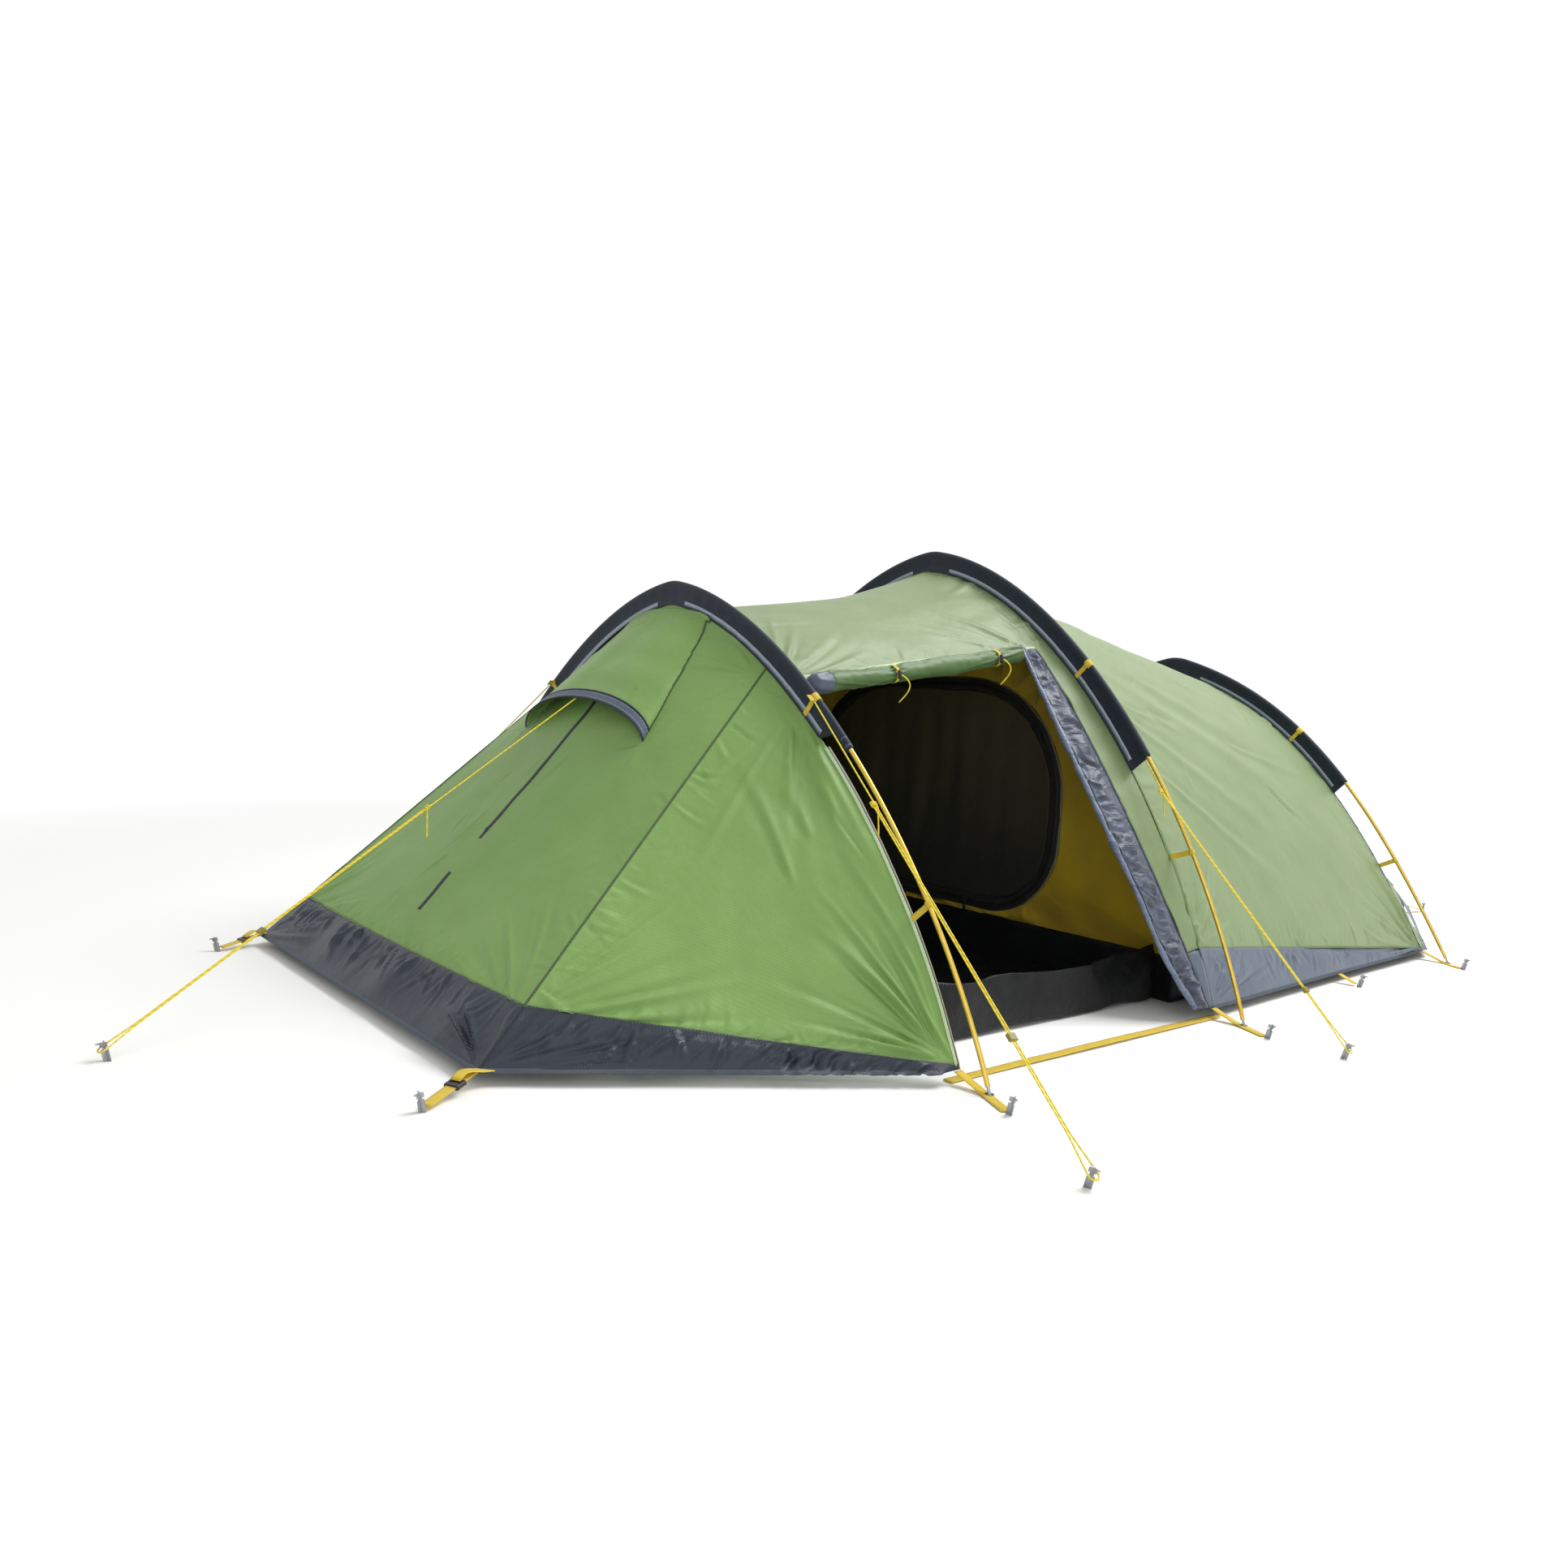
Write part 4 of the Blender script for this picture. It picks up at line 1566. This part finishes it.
def make_bathtub_floor():
    """The black groundsheet floor of the sleeping area, turned up into a low wall all round."""
    outline = np.array(TRAY + (TRAY[0],))
    line = at_reach(outline, np.linspace(0, reach_along(outline)[-1], 360, endpoint=False))
    middle = np.array([1.05, 0.0])
    floor = [middle + (line - middle) * share for share in np.linspace(0.03, 1, 26)]
    heights = [0.0012] * len(floor)
    walls = [line for _ in range(9)]
    heights += list(np.linspace(0.012, TRAY_DEPTH, 9))
    grid = np.stack([np.column_stack([ring, np.full(len(ring), z)])
                     for ring, z in zip(floor + walls, heights)], axis=1)
    rest = np.clip(grid[..., 2] / 0.02, 0.0, 1.0)
    grid[..., 2] += 0.0022 * np.maximum(waves(grid, 0.18, 151) + 1.0, 0.0) * (1 - rest)
    ways = unit(line - middle)
    pull = 0.005 * waves(grid, 0.16, 152, (1.0, 1.0, 0.4)) * rest - 0.002 * rest
    grid[..., :2] += ways[:, None] * np.minimum(pull, 0.001)[..., None]
    floor_piece = make_piece("bathtub_floor_cloth", [grid], closed=True, inside=(1.05, 0.0, 1.5))
    fill_holes(floor_piece, lambda e: all(v.co.z < 0.05 for v in e.verts))
    thicken(floor_piece, 0.001, 1.0)
    place_on(floor_piece, floor_cloth, ["bathtub_floor"])


make_bathtub_floor()


def make_porch_groundsheet():
    """The porch's black sheet, lying in soft folds and held up as a sill along both sides."""
    x = np.linspace(PORCH_SHEET_X[0] + 0.004, PORCH_SHEET_X[1] - 0.004, 140)
    floor_y = np.linspace(-PORCH_SHEET_HALF_WIDTH + 0.012, PORCH_SHEET_HALF_WIDTH - 0.012, 110)
    wall = np.linspace(0.012, 1.0, 26)
    share = (x - x[0]) / (x[-1] - x[0])
    rows = []
    for place, s in zip(x, share):
        top = PORCH_SILL * (0.985 - 0.20 * math.sin(math.pi * s) - 0.03 * math.sin(3 * math.pi * s))
        near = [(place, -PORCH_SHEET_HALF_WIDTH + 0.003, 0.004 + (top - 0.004) * h) for h in wall[::-1]]
        flat = [(place, y, 0.0016) for y in floor_y]
        far = [(place, PORCH_SHEET_HALF_WIDTH - 0.003, 0.004 + (top - 0.004) * h) for h in wall]
        rows.append(near + flat + far)
    grid = np.array(rows)
    raised = np.clip(grid[..., 2] / 0.02, 0.0, 1.0)
    folds = np.clip(0.5 + waves(grid, 0.26, 161, (1.0, 0.5, 1.0)), 0, 2) * 0.010
    folds += np.clip(waves(grid, 0.09, 162, (1.0, 0.4, 1.0)), 0, 2) * 0.003
    grid[..., 2] += folds * (1 - raised)
    slack = 0.020 * waves(grid, 0.24, 163, (1.0, 0.2, 0.5)) + 0.003 * waves(grid, 0.07, 164)
    slack += folded(grid, loose(grid[:, :26], (0.7, 0.0, -0.7), 16, 165, 0.10, 0.006, 0.0045, 0.4)
                    + loose(grid[:, -26:], (0.7, 0.0, -0.7), 16, 166, 0.10, 0.006, 0.0045, 0.4))
    inward, upright = -np.sign(grid[..., 1]), raised * grid[..., 2] / PORCH_SILL
    grid[..., 1] += inward * np.clip(slack + 0.012, 0.0, 0.05) * smooth(upright)
    sheet = make_piece("porch_groundsheet_cloth", [grid], inside=(-0.4, 0.0, 1.5))
    thicken(sheet, 0.001, 1.0)
    place_on(sheet, floor_cloth, ["porch_groundsheet"])


make_porch_groundsheet()


# ---- webbing, ties and loops ----
def strap(name, points, width=STRAP_WIDTH, nodes=(), facing=(0.0, 0.0, 1.0), wave=0.0015,
          thickness=0.0016):
    """A webbing strap through a few points, with its slight waviness."""
    line = np.array(points, float)
    reaches = np.linspace(0, reach_along(line)[-1], max(12, int(reach_along(line)[-1] / 0.008)))
    line = at_reach(line, reaches)
    for _ in range(2):
        line[1:-1] = (line[:-2] + 2 * line[1:-1] + line[2:]) / 4
    line = line + np.outer(wave * np.sin(np.pi * np.linspace(0, 1, len(line)))
                           * waves(line, 0.06, 171), facing)
    way = unit(np.gradient(line, axis=0))
    up = unit(np.array(facing) - way * (way @ np.array(facing))[:, None])
    strip(name, line, up, width, thickness / 2, yellow_webbing, thickness, nodes)


def near_peg(peg, start):
    """Where a strap ends, a little short of its peg on the side it comes from."""
    return peg + unit(start - peg) * 0.0095


def make_hoop_straps():
    """At each hoop's foot: a strap from the hem to the peg, with the pole's eyelet in it."""
    for label, hoop, inset in (("front", FRONT_HOOP, 0.0), ("middle", MIDDLE_HOOP, 0.0),
                               ("rear", REAR_HOOP, 0.020)):
        for side_label, side in SIDES:
            hem = (hoop[0], side * (hoop[1] - 0.073), 0.024)
            bend = (hoop[0], side * (hoop[1] - 0.014), 0.0022)
            peg = np.array((hoop[0] - 0.042, side * (hoop[1] + 0.072 - inset), 0.0022))
            strap(f"{label}_{side_label}_foot_strap", [hem, bend, near_peg(peg, np.array(bend))],
                  nodes=["foot_webbing"], wave=0.0004)
    for side_label, side in SIDES:
        hem, peg = np.array((0.715, side * 0.898, 0.023)), np.array((0.715, side * 0.948, 0.003))
        strap(f"{side_label}_hem_strap", [hem, near_peg(peg, hem)], nodes=["foot_webbing"], wave=0.0)
        strap(f"{side_label}_ground_strap",
              [(-0.918, side * 0.923, 0.0022), (-0.45, side * 0.926, 0.0060),
               (0.025, side * 0.923, 0.0022)], nodes=["ground_straps"], wave=0.0004)


make_hoop_straps()


def make_corner_straps():
    """Adjustable straps from the hem's corners to their pegs, each with a folded-back free end."""
    corners = (("near_front", (-1.6585, -0.552, 0.027), (-1.781, -0.619, 0.006)),
               ("far_front", (-1.6585, 0.552, 0.027), (-1.763, 0.528, 0.006)),
               ("near_rear", (2.2925, -0.477, 0.027), (2.400, -0.490, 0.006)),
               ("far_rear", (2.2925, 0.477, 0.027), (2.400, 0.490, 0.006)))
    # the free end from the buckle on: distance back along the strap, to the side and up
    tail = ((0.0, 0.0, 0.0065), (0.018, 0.0, 0.013), (0.050, 0.008, 0.002), (0.075, 0.020, -0.004))
    for label, hem, peg in corners:
        hem, peg = np.array(hem), np.array(peg)
        way = unit(peg - hem)
        end = peg - way * 0.0085
        strap(f"{label}_corner_strap", [hem, (hem + end) / 2, end], nodes=["corner_webbing"],
              wave=0.0002)
        if label.endswith("front"):
            side = unit(np.cross((0, 0, 1), way))
            buckle = hem + (end - hem) * 0.42
            strap(f"{label}_strap_tail", [buckle - way * back + side * aside + np.array((0, 0, rise))
                                          for back, aside, rise in tail], 0.019, wave=0.003)


make_corner_straps()


def on_hoop(hoop, height, insets=(0.0, 0.0), base=0.0):
    """The point of a hoop's near side at a height, and the way up along it."""
    line = hoop_line(hoop, insets, base)
    reach = reach_at_height(line, height)
    low, here, high = at_reach(line, np.array([reach - 0.002, reach, reach + 0.002]))
    return np.array([hoop[0], *here]), np.array([0.0, *unit(high - low)])


def make_hoop_ties():
    """Yellow ties that hold the bare part of each pole to the cloth, and the guy loops above."""
    # each hoop's heights of the tie on the pole and on the cloth and of the loop, and the loop's side
    ties = (("front", FRONT_HOOP, 0.305, 0.270, 0.668, -1),
            ("middle", MIDDLE_HOOP, 0.369, 0.349, 0.797, 1),
            ("rear", REAR_HOOP, 0.286, 0.262, 0.664, 1))
    for label, hoop, pole_height, cloth_height, loop_height, loop_side in ties:
        pole, _ = on_hoop(hoop, pole_height)
        cloth, _ = on_hoop(hoop, cloth_height, FLY_INSETS, HEM_HEIGHT)
        loop, loop_up = on_hoop(hoop, loop_height)
        to_cloth = unit(cloth - pole)
        inward = np.cross(ALONG, loop_up)
        inward = inward if inward @ np.array((0.0, 1.0, -0.3)) > 0 else -inward
        for side_label, side in SIDES:
            mirror = np.array((1.0, -side, 1.0))
            facing = ring_round(np.linspace(0, 2 * np.pi, 33), to_cloth, ALONG)
            strip(f"{label}_{side_label}_pole_tie_ring", (pole + facing * TIE_RING_RADIUS) * mirror,
                  facing * mirror, 0.013, 0.0, yellow_webbing, 0.0014, ["pole_ties"])
            strap(f"{label}_{side_label}_pole_tie",
                  [(pole + to_cloth * 0.006) * mirror, cloth * mirror], 0.012, ["pole_ties"], ALONG)
            facing = -ring_round(np.linspace(-0.86 * np.pi, 0.86 * np.pi, 41), inward, ALONG)
            strip(f"{label}_{side_label}_guy_loop", (loop + facing * GUY_LOOP_RADIUS) * mirror,
                  facing * mirror, STRAP_WIDTH, 0.0, yellow_webbing, 0.0014,
                  ["guy_loops"])
            for face_label, face in (("front", -1), ("rear", 1)):
                across = [loop + inward * reach + ALONG * face * off
                          for reach, off in ((0.002, 0.0092), (0.012, 0.0052), (0.020, 0.0042),
                                             (0.047, 0.0042))]
                strap(f"{label}_{side_label}_{face_label}_loop_band", [a * mirror for a in across],
                      0.012, facing=ALONG * face, wave=0.0, thickness=0.0012)
            tab = [(loop + ALONG * loop_side * off) * mirror for off in (0.008, 0.021)]
            strap(f"{label}_{side_label}_guy_tab", tab, 0.018,
                  facing=np.cross(ALONG, loop_up) * mirror, wave=0.0)


make_hoop_ties()


def finish_build_pieces():
    """Poles, tips, eyelets, runners, pegs, buckles and zip sliders keep their own shapes."""
    finishes = {
        pole_gold: ["front_pole", "middle_pole", "rear_pole"],
        steel: ["pole_tips", "foot_eyelets"],
        peg_alloy: ["foot_pegs", "front_guy_peg", "near_corner_peg", "far_corner_peg",
                    "near_front_guy_peg", "far_front_guy_peg", "near_middle_guy_peg",
                    "far_middle_guy_peg"],
        olive_nylon: ["front_runner", "near_front_runner", "far_front_runner", "near_middle_runner",
                      "far_middle_runner"],
        black_nylon: ["near_corner_buckle", "far_corner_buckle"],
        zip_metal: ["door_zip_slider", "inner_zip_slider"],
        yellow_webbing: ["inner_hangers"],
    }
    for material, names in finishes.items():
        for name in names:
            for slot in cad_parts[name].material_slots:
                slot.material = material


finish_build_pieces()


# ---- light, sky and floor ----
def soft_lamp(name, place, target, size, power):
    """A large square lamp that faces a target."""
    data = bpy.data.lights.new(name, "AREA")
    data.size, data.energy = size, power
    lamp = linked(name, data)
    lamp.location = place
    lamp.rotation_euler = (Vector(target) - Vector(place)).to_track_quat("-Z", "Y").to_euler()


def seen_directly(add):
    """1 for what the camera sees by itself, in gloss or through something clear."""
    rays = [add("LightPath", out=ray) for ray in ("Is Camera Ray", "Is Glossy Ray",
                                                  "Is Transmission Ray")]
    return greatest(add, rays)


def make_sky():
    """An even pale sky that shows as white behind the tent."""
    world = bpy.data.worlds.new("studio")
    bpy.context.scene.world = world
    add = empty_tree(world)
    fill, white = (add("Background", {"Color": (1, 1, 1, 1), "Strength": strength})
                   for strength in (SKY_FILL, 1.0))
    add("OutputWorld", {"Surface": add("MixShader", {0: seen_directly(add), 1: fill, 2: white})})


def make_floor():
    """A pale matt floor that keeps the tent's shadow and turns white further out."""
    mesh = bpy.data.meshes.new("studio_floor")
    reach = FLOOR_REACH
    mesh.from_pydata([(-reach, -reach, 0), (reach, -reach, 0), (reach, reach, 0), (-reach, reach, 0)],
                     [], [(0, 1, 2, 3)])
    floor = linked("studio_floor", mesh)
    floor.location = (0, 0, -0.0005)
    material = bpy.data.materials.new("matt_studio_paper")
    add = empty_tree(material)
    place = add("TexCoord", out="Object")
    distance = add("VectorMath", {0: place}, "Value", operation="LENGTH")
    fade = add("MapRange", {"Value": distance, "From Min": FLOOR_FADE[0], "From Max": FLOOR_FADE[1]})
    shown = add("Math", {0: fade, 1: seen_directly(add)}, operation="MULTIPLY")
    paper = add("BsdfPrincipled", {"Base Color": "#F4F4F2", "Roughness": 0.9})
    white = add("Emission", {"Color": (1, 1, 1, 1), "Strength": 1.0})
    add("OutputMaterial", {"Surface": add("MixShader", {0: shown, 1: paper, 2: white})})
    mesh.materials.append(material)


soft_lamp("sky_softbox", (2.6, -1.6, 5.4), (0.1, 0.0, 0.4), 3.6, 380.0)
soft_lamp("near_softbox", (-3.4, -4.6, 2.2), (-0.4, 0.0, 0.4), 3.0, 45.0)
make_sky()
make_floor()
